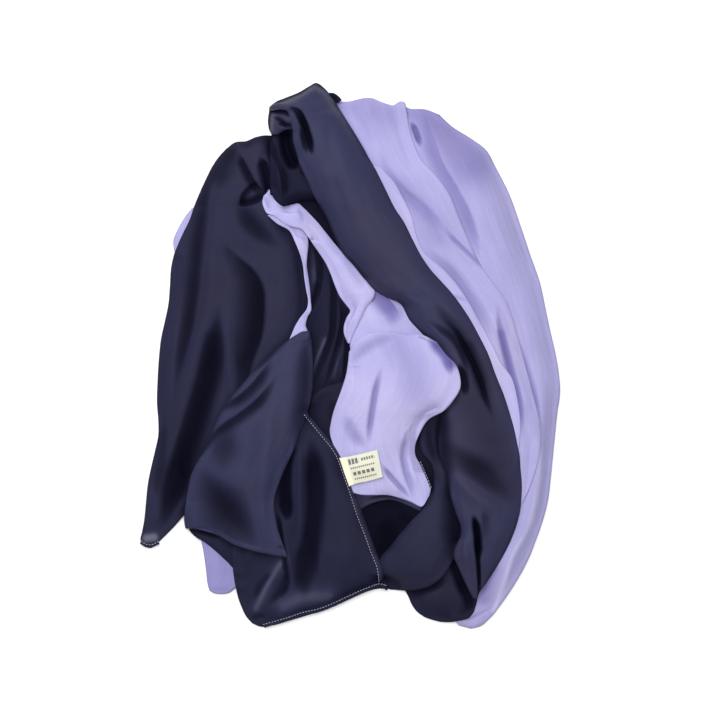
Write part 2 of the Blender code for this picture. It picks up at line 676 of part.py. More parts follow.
def laid_tree(obj):
    """A finished solid as a search tree, with its box in plan."""
    graph = bpy.context.evaluated_depsgraph_get()
    mesh = obj.evaluated_get(graph).to_mesh()
    mesh.calc_loop_triangles()
    places = [vert.co.copy() for vert in mesh.vertices]
    faces = [tuple(triangle.vertices) for triangle in mesh.loop_triangles]
    obj.evaluated_get(graph).to_mesh_clear()
    low = [min(place[axis] for place in places) for axis in (0, 1)]
    high = [max(place[axis] for place in places) for axis in (0, 1)]
    return BVHTree.FromPolygons(places, faces), low, high


def main():
    for obj in list(bpy.data.objects):
        bpy.data.objects.remove(obj, do_unlink=True)
    collection = bpy.data.collections.new("modal_scarf")
    bpy.context.scene.collection.children.link(collection)
    trees = [laid_tree(make_core(collection))]
    for stretch in STRETCHES:
        trees.append(laid_tree(make_stretch(stretch, trees, collection)))


main()
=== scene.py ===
"""Modal scarf, looped once over itself and dropped in a flat heap on a table.

The cloth is one long length of fine twill, navy on its face and lilac on its reverse. Each
stretch that shows is a thin shell of its own, laid in order from the lowest to the highest:
its rows give its outline and height, its folds are soft ridges and troughs drawn along
routes, and it is raised to clear whatever already lies under it.

Plan distances in the tables are millimetres right of and below the layout's datum corner,
and heights are millimetres above the table, as in the construction model. What is left over
of the cloth lies in the hidden layers, one form that the stretches rest on.
"""

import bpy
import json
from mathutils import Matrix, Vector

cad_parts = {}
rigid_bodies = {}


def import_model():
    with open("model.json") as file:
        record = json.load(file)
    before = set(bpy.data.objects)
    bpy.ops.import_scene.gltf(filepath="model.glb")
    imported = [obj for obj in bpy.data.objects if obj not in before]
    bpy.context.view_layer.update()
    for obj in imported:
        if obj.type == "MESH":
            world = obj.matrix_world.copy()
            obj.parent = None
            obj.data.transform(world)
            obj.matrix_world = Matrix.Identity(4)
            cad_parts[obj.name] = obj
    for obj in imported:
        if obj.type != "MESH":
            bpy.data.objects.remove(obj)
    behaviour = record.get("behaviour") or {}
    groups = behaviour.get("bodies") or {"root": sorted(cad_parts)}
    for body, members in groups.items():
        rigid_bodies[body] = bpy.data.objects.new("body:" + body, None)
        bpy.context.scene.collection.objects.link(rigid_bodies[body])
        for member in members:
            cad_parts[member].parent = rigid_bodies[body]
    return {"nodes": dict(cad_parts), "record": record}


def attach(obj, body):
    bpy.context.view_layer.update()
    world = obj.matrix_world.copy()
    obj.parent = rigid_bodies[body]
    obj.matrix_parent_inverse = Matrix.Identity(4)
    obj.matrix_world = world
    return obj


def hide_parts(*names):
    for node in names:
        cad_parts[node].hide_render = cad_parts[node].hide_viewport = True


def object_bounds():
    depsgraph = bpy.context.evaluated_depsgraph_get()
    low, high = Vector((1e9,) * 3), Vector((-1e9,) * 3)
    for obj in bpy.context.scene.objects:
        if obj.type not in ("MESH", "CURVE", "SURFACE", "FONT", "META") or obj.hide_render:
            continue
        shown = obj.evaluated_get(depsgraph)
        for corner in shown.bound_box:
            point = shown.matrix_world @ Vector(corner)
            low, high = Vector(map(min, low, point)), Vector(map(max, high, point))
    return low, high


bl_info = {
    "name": "Heaped Scarf",
    "version": (1, 0, 0),
    "blender": (4, 5, 0),
    "location": "View3D > Sidebar > Scarf",
    "description": "Lays a double-faced modal scarf in a heap around its construction model",
    "category": "Object",
}

import json
import math
from typing import NamedTuple

import bmesh
import bpy
import numpy as np
from bpy.props import FloatProperty, FloatVectorProperty, PointerProperty
from mathutils import Vector
from mathutils.bvhtree import BVHTree

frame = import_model()
CAD_LOW, CAD_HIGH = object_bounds()
SLOT_COLOURS = {entry["slot"]: entry["base_color"] for entry in frame["record"]["materials"]}

MM = 0.001
TINY = 1e-9  # the least length that anything is divided by
TOUCHING = 0.00001  # metres within which two points are one
DATUM = np.array((-0.3505, 0.35595))  # the tables' datum corner, from the middle of the heap
NAVY = "navy_face"
LILAC = "lilac_reverse"
LABEL_TAPE = "woven_label"
FINISHES = {
    NAVY: "navy twill face",
    LILAC: "lilac twill reverse",
    LABEL_TAPE: "cream label tape",
}

# How the heap's height is kept and a stretch is shaped
LAYOUT_SIZE = 720  # mm that the raster of the layout spans each way
LAYER = 1.4  # mm from a stretch's underside in the tables to its top
ROW_POINTS = 49  # points that each row is read at
ROUTE_STEP = 3.0  # mm between the points of a smoothed route
CLOSE_STEPS = (0.12, 0.3, 0.6)  # shares of a cell, for the closer points near a folded side
TIP_REACH = 0.45  # share of its reach that a fold keeps where it dies out
SPREAD = 3  # samples along each side of a cell when a stretch is added to the heap

# How a stretch is laid
SHELL = 0.8  # mm of room for a stretch's own wall
TABLE_GAP = 0.3  # mm between a rim that reaches the table and the table
LAY_GAP = 0.5  # mm between a stretch and what it lies on
LAY_REACH = 2  # mm to each side within which a stretch clears the heap
DRAPE_ROUNDS = 60  # times that a lift spreads to the points around it
DRAPE_FADE = 0.985  # share of a lift that each round passes on
FLOOR_ROUNDS = 4  # times that what a folded side settles on is smoothed
SETTLE_POWER = 1.5  # how sharply the settling ends

# How its sides are finished
ROLL_REACH = 1.8  # a folded side's reach, in rolls
THIN_EDGE = 0.35  # mm that a side that doesn't show turns under
TUCK = 2.0  # rolls that a folded side runs back under the stretch
RIM_TURNS = (math.radians(30), math.radians(60), math.radians(90))
RIM_ROUNDS = 3  # times that the roll is smoothed round the corners
RIM_FLOOR = 0.95  # mm above the table that a rim's outside keeps

# How shade is painted into its troughs, under other cloth and along darker streaks
TROUGH_REACHES = ((3.0, 0.8), (7.0, 0.6), (15.0, 0.25))  # mm round a point, and its share
TROUGH_BLUR = 0.8  # mm
COVER_BLUR = 0.6  # mm
COVER_MARGIN = 1.2  # mm that cloth may rise over a point before the point counts as covered
PALE_TROUGH = 0.32  # share of a trough between pieces that shows on the paler reverse
TROUGH_POWER = 1.25  # how late a trough's shade sets in
TINT_DEPTH = 2.0  # how strongly a tint below nought deepens the cloth

# The dye's noises: scale per metre, detail and roughness
MOTTLE = (17.0, 3.0, 0.5)
PATCHES = (11.0, 4.0, 0.6)
PATCH_GAIN = 3.5  # how sharply the warmer patches end
GRAIN_RELIEF = 0.00012  # metres of relief for a height of one
TWILL_HEIGHT = 0.25
MOTTLE_HEIGHT = 8.0
MOTTLE_LIGHT = 0.25
MOTTLE_ROUGHNESS = 0.12
SLUB_ROUGHNESS = 0.10

# The label's tape, in metres
TAPE_RIB = 0.0006
TAPE_WARP = 0.0005
TAPE_RELIEF = 0.00006
LABEL_FOLDED_END = -0.0135
LABEL_FOLD_BLEND = 0.0012
TAPE_WEAR = (160.0, 3.0)  # a noise's scale per metre and its detail
WEAR_START = 0.35  # where in its noise the wear sets in
WEAR_SHARE = 0.35  # how much of the worn cream shows
WORN = 0.82  # the worn cream's share of the fresh cream's light
MARK_SHARE = 0.85  # how much of the dashes' own colour shows

# The thread and its stitches
THREAD_FUZZ = (3000.0, 2.0)  # a noise's scale per metre and its detail
THREAD_RUNS = (60.0, 1.0)
THREAD_SHADED = 0.6  # the shaded thread's share of the light
THREAD_RELIEF = 0.00005
HEM_HEIGHTS = (0, 0.3, 0)  # mm that a hem bulges, at its sides and its middle
BEAD = {"Segments": 8, "Rings": 5, "Radius": 1.0}
STITCH_SPREAD = {"Min": 0.85, "Max": 1.1, "Seed": 7}  # how uneven the stitches' lengths are
STITCH_SINK = 0.4  # radii that the thread's middle stands over the hem

# The table, the camera and the lights
TABLE_HALF = 3.0
TABLE_GRAIN = (30.0, 2.0)  # a noise's scale per metre and its detail
TABLE_SHADED = 0.97
TABLE_RELIEF = 0.00002
SENSOR = 36.0
WINDOW_PLACE = (-0.8, 1.3, 1.6)
WINDOW_WIDTH = 1.6
OVERHEAD_PLACE = (0.0, 0.2, 2.4)
OVERHEAD_WIDTH = 1.4


class Row(NamedTuple):
    """One line across a stretch, from its left side to its right."""

    places: tuple  # two or more, mm right of and below the datum corner
    heights: tuple  # mm of the underside at the left side, the middle and the right side


class Fold(NamedTuple):
    """A ridge, or a trough where its rise is negative, that runs along a route."""

    route: tuple  # mm right of and below the datum corner
    rise: float  # mm
    left: float  # mm that it spreads to the left of a route that runs down the table
    right: float
    fade: float = 0.35  # share of the route over which each end fades out


class Tint(NamedTuple):
    """A soft streak where the cloth reads thin and pale, or, where negative, a streak of painted
    shade.
    """

    route: tuple
    amount: float
    reach: float  # mm


class Stretch(NamedTuple):
    """A stretch of cloth that shows, named for the construction node it stands for."""

    name: str
    face: str
    rows: tuple
    folds: tuple = ()
    folded: tuple = ()  # the sides that show as a rounded fold
    fullness: float = 3.0  # how late a row turns down towards its sides
    roll: float = 1.3  # mm radius of the folded sides
    tints: tuple = ()
    cell: float = 1.7  # mm between the points of its grid
    # shade: painted shade that darkens the whole stretch
    shade: float = 0.0  # how much deeper the whole stretch reads than full light
    gap: float = LAY_GAP
    settle: float = 8.0  # mm over which a folded side comes down to what it lies on


ALL_ROUND = ("left", "right", "start", "end")


def rows_of(*lines):
    """A stretch's rows, where a straight one is the x and y of its two ends and three heights."""
    return tuple(
        line if isinstance(line, Row) else Row((line[:2], line[2:4]), line[4:]) for line in lines
    )


DRAPES = (
    Stretch("lilac_tail", LILAC, rows_of(
        (193, 508, 268, 508, 6, 8, 8), (200, 535, 264, 540, 1.5, 5, 6),
        (203.5, 552, 262, 556, 0.8, 4, 5), (206, 570, 256, 573, 0.8, 3.5, 3),
        (207.5, 583, 246, 584, 0.8, 3, 2),
        Row(((209.5, 590.5), (214, 593), (220, 594), (230, 592.3), (237, 586)), (0.6, 1.2, 0.6)),
    ), folds=(
        Fold(((222, 540), (224, 570), (222, 592)), -1.0, 5, 6),
        Fold(((208, 588), (216, 590.5), (226, 590), (234, 584)), -0.7, 1.5, 1.5),
    ), folded=("left", "end"), shade=0.42),
    Stretch("wing_reverse", LILAC, rows_of(
        (192, 208, 206, 212, 0.8, 1.6, 2), (185, 217, 204, 221, 0.7, 1.8, 2.4),
        (178, 229, 201, 232, 0.7, 2, 2.6), (173.5, 240, 198, 244, 0.7, 2, 2.4),
        (174, 251, 192, 258, 0.7, 1.6, 2),
    ), folded=("left",), shade=0.1),
    Stretch("outer_drape", LILAC, rows_of(
        Row(((399, 104), (409, 108.5), (425, 109.5), (439, 114.5)), (3, 3, 0.8)),
        (401, 118, 452, 126.5, 10, 10, 0.8), (403, 132, 471, 138.5, 13, 14, 0.8),
        (408, 146, 486, 150, 15, 17, 0.8), (413, 162, 496, 168, 16, 19, 0.8),
        (424, 195, 510, 196, 16, 20, 0.8), (432, 223, 520, 224, 16, 20, 0.8),
        (445, 254, 530, 254, 15, 19, 0.8), (460, 283, 540, 283, 14, 18, 0.8),
        (470, 311, 546, 311, 13, 18, 0.8), (476, 332, 550.5, 332, 13, 18, 0.8),
        (483, 356, 556, 356, 13, 18, 0.8), (489, 375, 559, 375, 12, 18, 0.8),
        (494, 392, 560, 392, 12, 17, 0.8), (497, 415, 557, 415, 12, 17, 0.8),
        (499, 435, 555, 435, 12, 16, 0.8), (500, 455, 553, 455, 11, 16, 0.8),
        (500, 475, 551, 475, 10, 15, 0.8), (498, 500, 548, 500, 9, 14, 0.8),
        (495, 520, 543, 520, 8, 13, 0.8), (490, 538, 536, 540, 7, 11, 0.8),
        (480, 558, 528, 560, 6, 10, 0.8), (474, 574, 519, 577, 5, 9, 0.8),
        (467, 588, 509, 593, 3, 7, 0.8), (461, 601, 499, 607, 1.5, 5, 0.8),
        (455, 613, 490, 618, 0.8, 4, 0.8), (454, 620, 478, 627, 0.7, 2, 0.7),
        (459, 625.5, 471, 628.5, 0.6, 0.9, 0.6),
    ), folds=(
        Fold((
            (424, 106), (430, 128), (439, 160), (457, 192), (470, 217), (477, 240), (483, 268),
        ), -4.5, 13, 1.4, 0.3),
        Fold(((410, 120), (415, 132), (421, 150)), -9, 1.8, 2.6),
        Fold((
            (538, 400), (538.5, 440), (536, 486), (526, 530), (512, 556), (505, 582), (492, 614),
        ), 3.2, 9, 5),
        Fold(((529, 430), (528, 470), (522, 510)), -1.5, 4, 4),
        Fold(((497, 554), (488, 572), (477, 602)), -5, 1.4, 5),
        Fold(((459, 622), (470, 619), (481, 614), (494, 606)), -1.4, 1.4, 2),
        Fold(((450, 140), (478, 190), (498, 240), (514, 310)), 1.6, 14, 14),
        Fold(((517, 332), (526.5, 366), (532.5, 388), (538, 409), (541, 436)), -3, 1.5, 2.2),
    ), tints=(
        Tint(((425, 110), (445, 136), (470, 166)), -0.55, 20),
        # A pale line painted along the lower ridge's crest: a painted highlight.
        Tint(((538, 430), (537, 486), (526, 530), (512, 556), (504, 582), (494, 610)), 0.34, 2.2),
        Tint(((492, 570), (488, 584), (484, 597)), -0.45, 7),
    ), folded=("right", "start", "end"), fullness=3.2, cell=1.6, shade=0.08),
    Stretch("inner_drape", LILAC, rows_of(
        Row((
            (330, 105), (342, 102), (350, 101.5), (358, 99.5), (366, 98), (373, 98.5), (380, 101.5),
            (387, 104), (394, 105.5), (398, 102.5), (402, 101.5), (405, 103),
        ), (5, 3, 3)),
        (334, 112, 406.5, 112, 11, 10, 8), (342, 125, 408.5, 126, 16, 18, 13),
        (350, 144, 414, 146, 20, 22, 15), (357, 160, 422, 162, 22, 24, 17),
        (364, 178, 437, 178, 22, 25, 18), (371, 195, 449, 195, 22, 25, 18),
        (380, 217, 458, 217, 21, 25, 17), (390, 238, 467, 238, 20, 24, 17),
        (404, 258, 478, 262, 19, 23, 17), (424, 284, 493, 284, 17, 21, 16),
        (438, 300, 504.5, 300, 16, 20, 16), (450, 319, 512, 319, 15, 19, 16),
        (460, 343, 518.5, 343, 14, 19, 15), (470, 367, 525, 367, 13, 18, 15),
        (480, 388, 530.6, 388, 12, 17, 14), (489, 408, 536, 408, 12, 16, 14),
        (497, 433, 540, 433, 11, 14, 13), (503, 455, 538.5, 455, 10, 13, 12),
        (504, 480, 531, 482, 8, 11, 10), (506, 500, 521, 504, 7, 9, 8),
        (505, 516, 511, 520, 6, 7, 6),
    ), folds=(
        Fold((
            (381, 146), (386, 166), (392, 178), (402, 191), (417, 203), (432, 217), (445, 231),
            (458, 244),
        ), -3.2, 8, 3.2),
        Fold(((443, 227), (453, 239), (464, 250), (478, 263), (488, 274)), -6, 2.6, 1.6, 0.3),
        Fold(((398, 150), (425, 186), (446, 214), (464, 244)), 1.6, 9, 6),
        Fold((
            (496.5, 300), (499, 325), (504, 347), (510, 369), (516, 391), (520, 410), (522, 440),
        ), -11, 3, 3.2, 0.3),
        Fold(((508, 312), (516, 350), (525, 385), (532, 425)), 2.2, 5, 5),
        Fold(((420, 246), (445, 268), (470, 298), (496, 345)), -3.4, 9, 6),
        Fold(((360, 108), (368, 130), (378, 150)), -1, 7, 7),
    ), tints=(
        Tint(((362, 108), (385, 116)), -0.22, 16),
        Tint(((500, 333), (504, 352), (509, 374)), -1.2, 2.8),
        Tint(((400, 190), (415, 206), (438, 236)), -0.2, 12),
    ), folded=("right", "start"), roll=1.0, shade=0.08),
    Stretch("drape_strip", LILAC, rows_of(
        (370, 164, 379, 167, 23, 24, 22), (378, 183, 394, 183, 23, 24, 22),
        (388, 200, 403, 199, 23, 24, 22), (396, 218, 411, 216, 23, 24, 22),
        (402, 234, 416, 236, 22, 23, 22), (410, 250, 424, 253, 22, 24, 22),
        (424, 270, 444, 270, 22, 24, 22), (438, 286, 458, 286, 22, 24, 21),
        (448, 303, 468, 301, 21, 24, 21), (462, 325, 481, 325, 21, 23, 20),
        (474, 345, 491, 345, 20, 22, 19), (484, 363, 500, 363, 19, 21, 18),
        (492, 379, 511, 378, 18, 20, 16), (499, 398, 516.5, 398, 16, 18, 15),
        (506, 421, 519.5, 421, 14, 16, 14), (509, 444, 518.5, 444, 12, 13, 12),
        (508, 462, 515, 464, 10, 11, 10), (506, 480, 510, 482, 8, 9, 8),
    ), folds=(
        Fold(((448, 297), (460, 299), (470, 303)), -1.6, 2, 2),
    ), folded=("right",), fullness=2.6, roll=1.0),
)

LEFT_SIDE = (
    Stretch("knot_back_fold", NAVY, rows_of(
        Row(((324, 94.5), (330, 93), (334, 93.3), (338, 95.8)), (2, 3, 2)),
        (324, 97.5, 340.5, 98.5, 6, 7, 4), (325, 100, 341.5, 101, 8, 9, 6),
        (327, 103.5, 336, 104, 9, 10, 8),
    ), folds=(
        Fold(((332, 96), (335, 99), (338, 102)), -1.5, 2, 2),
    ), folded=("start", "right"), roll=1.0, cell=1.2, shade=0.3),
    Stretch("left_wing", NAVY, rows_of(
        Row((
            (226, 149), (235, 142.5), (247, 141), (255, 137.5), (265, 135.5), (273, 136),
        ), (0.8, 3, 5)),
        (218, 158, 275, 150, 0.8, 13, 16), (212, 167, 279, 164, 0.8, 17, 19),
        (206, 179, 279, 179, 0.8, 19, 19), (200, 192, 279, 195, 0.8, 20, 18),
        (194, 207, 281, 209, 0.8, 20, 16), (190, 219, 284, 223, 0.8, 20, 15),
        (180, 240, 294, 238, 0.8, 20, 14), (174, 255, 303, 252, 0.8, 19, 13),
        (171, 269, 307, 269, 0.8, 19, 12), (170, 285, 310, 286, 0.8, 18, 12),
        (168.4, 304, 310, 303, 0.8, 18, 12), (164.5, 323, 310, 320, 0.8, 17, 12),
        (161, 339, 306, 335, 0.8, 17, 12), (159, 358, 300, 349, 0.8, 16, 12),
        (157.6, 381, 284, 370, 0.8, 15, 12), (157, 402, 272, 388, 0.8, 14, 11),
        (158.4, 422, 256, 406, 0.8, 13, 10), (158.4, 434, 248, 416, 0.8, 12, 10),
        (155, 451, 238, 432, 0.8, 10, 10), (151, 468, 228, 446, 0.8, 9, 9),
        (148, 483, 218, 462, 0.8, 8, 8), (146, 503, 207, 480, 0.8, 6, 7),
        (144, 522, 196, 501, 0.8, 5, 4), (142, 532, 186, 513, 0.8, 3, 2),
        (140.5, 539, 173, 528, 0.7, 1.8, 0.8), (141.5, 543.5, 162, 539, 0.7, 1.2, 0.7),
        Row(((145, 547), (151, 548), (157, 544)), (0.6, 0.8, 0.6)),
    ), folds=(
        Fold(((238, 152), (243, 162), (249, 174), (256, 186), (268, 196)), -5, 5, 1.6, 0.25),
        Fold(((261, 156), (266, 172), (269, 186), (270, 202)), -8, 5, 4, 0.25),
        Fold(((259, 182), (248, 191), (243, 198), (243, 209)), -4.5, 1.6, 3.5, 0.25),
        Fold(((237, 205), (246, 205), (255, 203), (268, 193)), -5.5, 1.6, 5, 0.25),
        Fold(((234, 192), (240, 206), (248, 221), (262, 235), (288, 251)), -3.6, 8, 9, 0.45),
        Fold(((238, 140), (228, 160), (214, 196)), -2.5, 9, 9),
        Fold((
            (216, 170), (214, 240), (211, 280), (205, 320), (194, 360), (184, 400), (174, 440),
            (156, 500),
        ), 3.5, 9, 9),
        Fold((
            (216, 155), (205, 200), (198, 240), (194, 280), (188, 325), (180, 365), (170, 420),
        ), -3.8, 8, 8),
        Fold((
            (218, 243), (231, 253), (243, 264), (254, 276), (260, 290), (261, 306), (259, 332),
            (251, 358), (240, 404),
        ), -9, 17, 3.4, 0.4),
        Fold(((229, 300), (229, 335), (230, 362), (234, 405)), 2.6, 6, 6),
        Fold((
            (219, 304), (215, 345), (210, 375), (202, 402), (193, 432), (184, 462), (172, 498),
            (160, 534),
        ), -13, 11, 9, 0.25),
        Fold(((276, 240), (284, 290), (266, 352)), 2, 12, 14),
        Fold(((184, 270), (172, 335), (166, 400), (159, 465)), 1.8, 6, 7),
        Fold(((166, 400), (162, 450), (152, 510)), -2, 5, 6),
        Fold(((152, 480), (147, 515), (148, 536)), 1.4, 4, 6),
        Fold(((145, 543), (150, 545.5), (157, 542)), -0.7, 1.2, 1.2),
    ), tints=(
        Tint(((147, 538), (154, 537)), 0.9, 5),
        Tint(((214, 340), (208, 380), (198, 418), (186, 460), (176, 492)), -2.2, 6.5),
    ), folded=ALL_ROUND, fullness=3.6, roll=1.1, cell=1.5, shade=0.3),
    Stretch("inner_pleats", NAVY, rows_of(
        (296, 240, 322, 246, 10, 11, 11), (298, 262, 334, 268, 10, 11, 11),
        (300, 290, 345, 296, 10, 11, 11), (300, 320, 352, 322, 10, 11, 11),
        (300, 350, 354, 350, 10, 11, 11), (300, 378, 350, 378, 11, 11, 11),
        (300, 402, 345, 400, 11, 11, 11),
    ), folds=(
        Fold((
            (303, 210), (314, 240), (320, 258), (321, 272), (319, 288), (312, 308), (303, 340),
        ), -4, 4, 2),
        Fold((
            (330, 262), (334, 290), (334, 310), (333, 330), (325, 356), (316, 380), (306, 402),
        ), -5, 3.5, 2.5),
        Fold(((338, 290), (343, 318), (338, 346), (331, 370), (320, 398)), -4.5, 2.5, 2.2),
        Fold(((344, 300), (348, 332), (346, 360), (342, 392)), -5, 2.4, 2),
        Fold(((328, 306), (327, 336), (318, 356), (310, 384), (302, 406)), 2, 3, 3),
        Fold(((313, 262), (314, 285), (310, 305)), 2, 3, 3),
    ), tints=(
        Tint(((325, 340), (315, 366), (306, 398)), 0.97, 4),
        Tint(((339, 348), (334, 378)), 0.93, 2.4),
        Tint(((345, 345), (342, 376)), 0.91, 1.8),
        Tint(((312, 240), (316, 280)), 0.94, 5),
    ), roll=1.0, cell=1.3, shade=0.85),
)

LILAC_MIDDLE = (
    Stretch("reverse_sliver", LILAC, rows_of(
        (268, 216, 300, 216, 15, 17, 18), (277, 224, 305, 226, 15, 17, 17),
        (290, 232, 308, 238, 15, 17, 17), (295, 242, 308.5, 246, 15, 17, 16),
        (300, 254, 307.5, 256, 15, 16.5, 16), (303, 265, 307, 266, 15, 16, 15),
        (304.5, 278, 308.8, 279, 14.5, 15.5, 15), (306.5, 291, 310.3, 291, 14, 15, 15),
        (308.3, 301, 311, 301, 14, 15, 15), (307, 309, 311.5, 310, 14, 15, 15),
        (300, 318.5, 307.5, 318, 14, 16, 15), (295.5, 326, 306, 326, 14, 17, 15),
        (292, 334, 308, 332, 14, 17, 15), (289, 341, 306, 338, 14, 16, 15),
    ), folds=(
        Fold(((300, 233), (305, 243), (304, 256)), 1.0, 3, 2),
    ), folded=("left", "right"), fullness=2.6, roll=0.8, cell=1.2),
    Stretch("lilac_upper", LILAC, rows_of(
        Row(((369, 284), (374, 287.5), (385, 293), (399, 300)), (17, 19, 18)),
        (364, 298, 408, 312, 17, 19, 19), (357, 314, 424, 324, 17, 19, 19),
        (350, 330, 440, 336, 16, 18, 18), (350, 346, 450, 350, 15, 17, 16),
        (353, 364, 442, 366, 14, 15, 14),
    ), folds=(
        Fold(((374, 284), (386, 298.5), (399, 316)), -7, 9, 1.4, 0.3),
        Fold(((376, 285), (375.5, 292), (371, 304)), -3, 2, 2),
        Fold(((402, 310), (412, 322), (420, 336)), 1.2, 5, 4),
    ), tints=(
        Tint(((378, 298), (386, 306), (392, 314)), -0.9, 7),
    ), roll=1.0, cell=1.3),
    Stretch("lilac_strip", LILAC, rows_of(
        (264, 197, 270, 190.5, 18, 19, 20), (263, 203, 275, 200, 18, 20, 20),
        (264.5, 209, 284, 207, 18, 20.5, 21), (268, 214.5, 298, 204, 18, 21, 21),
        (275, 217, 304, 208.5, 18, 21, 21), (283, 223, 311, 215.5, 18, 21, 21),
        (291, 227.5, 318, 223, 18, 21, 20), (301, 229.5, 326, 233, 18, 21, 20),
        (308, 237, 334, 243, 18, 21, 19), (314, 246, 341, 251, 18, 21, 19),
        (321, 256, 348, 257, 17, 21, 18), (326, 264, 355, 267, 17, 21, 18),
        (331, 275, 363, 277.5, 16, 21, 18), (335, 286, 371, 286, 16, 21, 18),
        (340, 297, 375, 292, 16, 21, 19), (346, 305, 373, 299, 16, 20.5, 19),
        (350, 310.5, 367, 307, 16, 20, 19), (346.5, 318, 361.5, 318, 15.5, 19, 19),
        (344, 326, 357, 327, 15, 18, 18), (344, 334, 353, 335, 15, 17, 17),
        (347.5, 343, 350, 344, 15, 15.5, 16),
    ), folds=(
        Fold(((263, 194), (267, 203), (271, 213)), -3, 1.5, 2.2),
        Fold(((296, 205), (301, 214), (304, 228)), -2.6, 1.5, 2),
        Fold(((334, 240), (340, 249), (347, 256)), -1.4, 1.5, 1.5),
        Fold(((310, 225), (330, 250), (350, 285)), 1.2, 7, 7),
        Fold(((338, 284), (346, 300), (349, 309)), -1.2, 2.5, 3),
        Fold(((356, 318), (350, 330), (348, 342)), -1.0, 2, 3),
    ), folded=("left", "right", "start"), fullness=2.8, roll=1.0, cell=1.3),
)

LOWER_MIDDLE = (
    Stretch("navy_tongue", NAVY, rows_of(
        Row((
            (310, 408), (313, 397), (318, 391), (325, 386.5), (334, 384), (348, 380),
        ), (12, 15, 15)),
        (308, 425, 348, 412, 12, 16, 15), (309, 440, 347, 432, 12, 16, 14),
        (316, 456, 352, 452, 12, 15, 13), (328, 470, 360, 472, 12, 13, 12),
    ), folds=(
        Fold(((312, 400), (322, 393), (340, 388)), 1.2, 3, 5),
        Fold(((330, 395), (336, 420), (340, 450)), -1.5, 6, 6),
    ), folded=("start", "left"), roll=1.0, cell=1.4, shade=0.8),
    Stretch("small_fold", NAVY, rows_of(
        (193, 505, 262, 508, 6, 9, 9), (188.5, 528, 260, 532, 5, 8, 8),
        (196, 537, 253, 548, 4.5, 7.5, 7), (203, 540.8, 249, 558, 4, 7, 6),
        (217, 552, 241, 569, 3, 5, 4), (231, 565, 237, 572, 2, 3, 3),
    ), folds=(
        Fold(((190, 531), (205, 532), (222, 538)), -3, 3, 5),
    ), folded=("left",), roll=1.0, shade=0.6),
    Stretch("lower_hollow", NAVY, rows_of(
        (342, 480, 436, 486, 12, 13, 13), (348, 506, 430, 508, 11, 12, 12),
        (355, 530, 416, 530, 10, 11, 11), (365, 552, 398, 552, 9, 10, 10),
        (374, 572, 392, 572, 8, 9, 9),
    ), folds=(
        Fold(((392, 514), (385, 540), (377, 566)), -14, 8, 8),
        Fold(((410, 508), (400, 525), (390, 544)), -5, 5, 5),
    ), tints=(
        Tint(((385, 520), (382, 556)), -0.8, 14),
    ), roll=1.0, shade=5.0),
    Stretch("lower_fold", NAVY, rows_of(
        (346, 470, 423, 474, 16, 17, 16),
        Row(((351, 490), (390, 488), (428, 494)), (16, 18, 17)),
        Row(((356, 512), (372, 503), (390, 499.5), (408, 505), (420, 511)), (14, 16, 15)),
    ), folds=(
        Fold(((362, 501), (388, 495.5), (412, 504)), -1.5, 2, 2),
    ), folded=("end",), roll=1.0, cell=1.4),
)

LOBES = (
    Stretch("bottom_lobe", NAVY, rows_of(
        (406, 545, 470, 545, 12, 14, 14), (403, 572, 474, 572, 8, 13, 13),
        (405, 590, 477, 592, 2.5, 12, 10), (408.5, 597, 477, 600, 0.8, 11, 7),
        (412, 605, 475.5, 606, 0.8, 10, 4), (420, 614, 472, 614, 0.8, 7, 1.5),
        (429, 618.8, 466, 619, 0.7, 4, 0.8),
        Row(((440, 621.8), (448, 622.2), (456, 621.3)), (0.6, 0.9, 0.6)),
    ), folds=(
        Fold(((450, 548), (457, 570), (463, 586), (469, 600), (470, 614)), -9, 5, 4, 0.2),
        Fold(((476, 590), (468, 606), (458, 618)), -2, 5, 4),
        Fold(((430, 585), (436, 610)), 1.4, 10, 12),
        Fold(((400, 594), (425, 590), (448, 578)), -3, 5, 5),
    ), folded=("left", "right", "end"), fullness=3.2, roll=1.2, shade=0.5),
    Stretch("front_lobe", NAVY, rows_of(
        (428, 416, 449, 406, 16, 18, 18), (419, 434, 446, 428, 15, 19, 18),
        (421, 452, 446, 448, 14, 19, 18), (431, 465, 449, 468, 14, 20, 18),
        (433, 475, 452, 478, 14, 21, 18), (432, 485, 455, 489, 14, 22, 18),
        (428, 499, 461, 506, 14, 24, 18), (421, 510, 465, 518, 14, 25, 18),
        (413, 518, 466, 528, 13, 25, 18), (400, 533, 462, 541, 12, 25, 18),
        (389, 547, 456, 553, 10, 24, 17), (379.5, 559, 450, 565, 7, 22, 17),
        (379, 570, 444, 574, 4, 19, 17), (381.5, 579, 435, 582, 2, 13, 17),
        (385, 585.5, 429, 586, 1, 8, 15),
        Row(((390, 589.5), (398, 590), (406, 590.3), (413, 590)), (0.8, 2, 6)),
    ), folds=(
        Fold(((430, 495), (408, 535), (394, 570)), 1.8, 9, 16),
        Fold(((450, 462), (457, 500), (457, 530), (449, 562)), -6, 13, 8),
        Fold(((443, 404), (441, 440), (447, 475)), -6, 7, 6),
        Fold(((430, 418), (429, 442), (437, 468)), -3, 4, 3),
    ), folded=("left", "right", "end"), fullness=2.8, roll=1.4, shade=0.3),
)

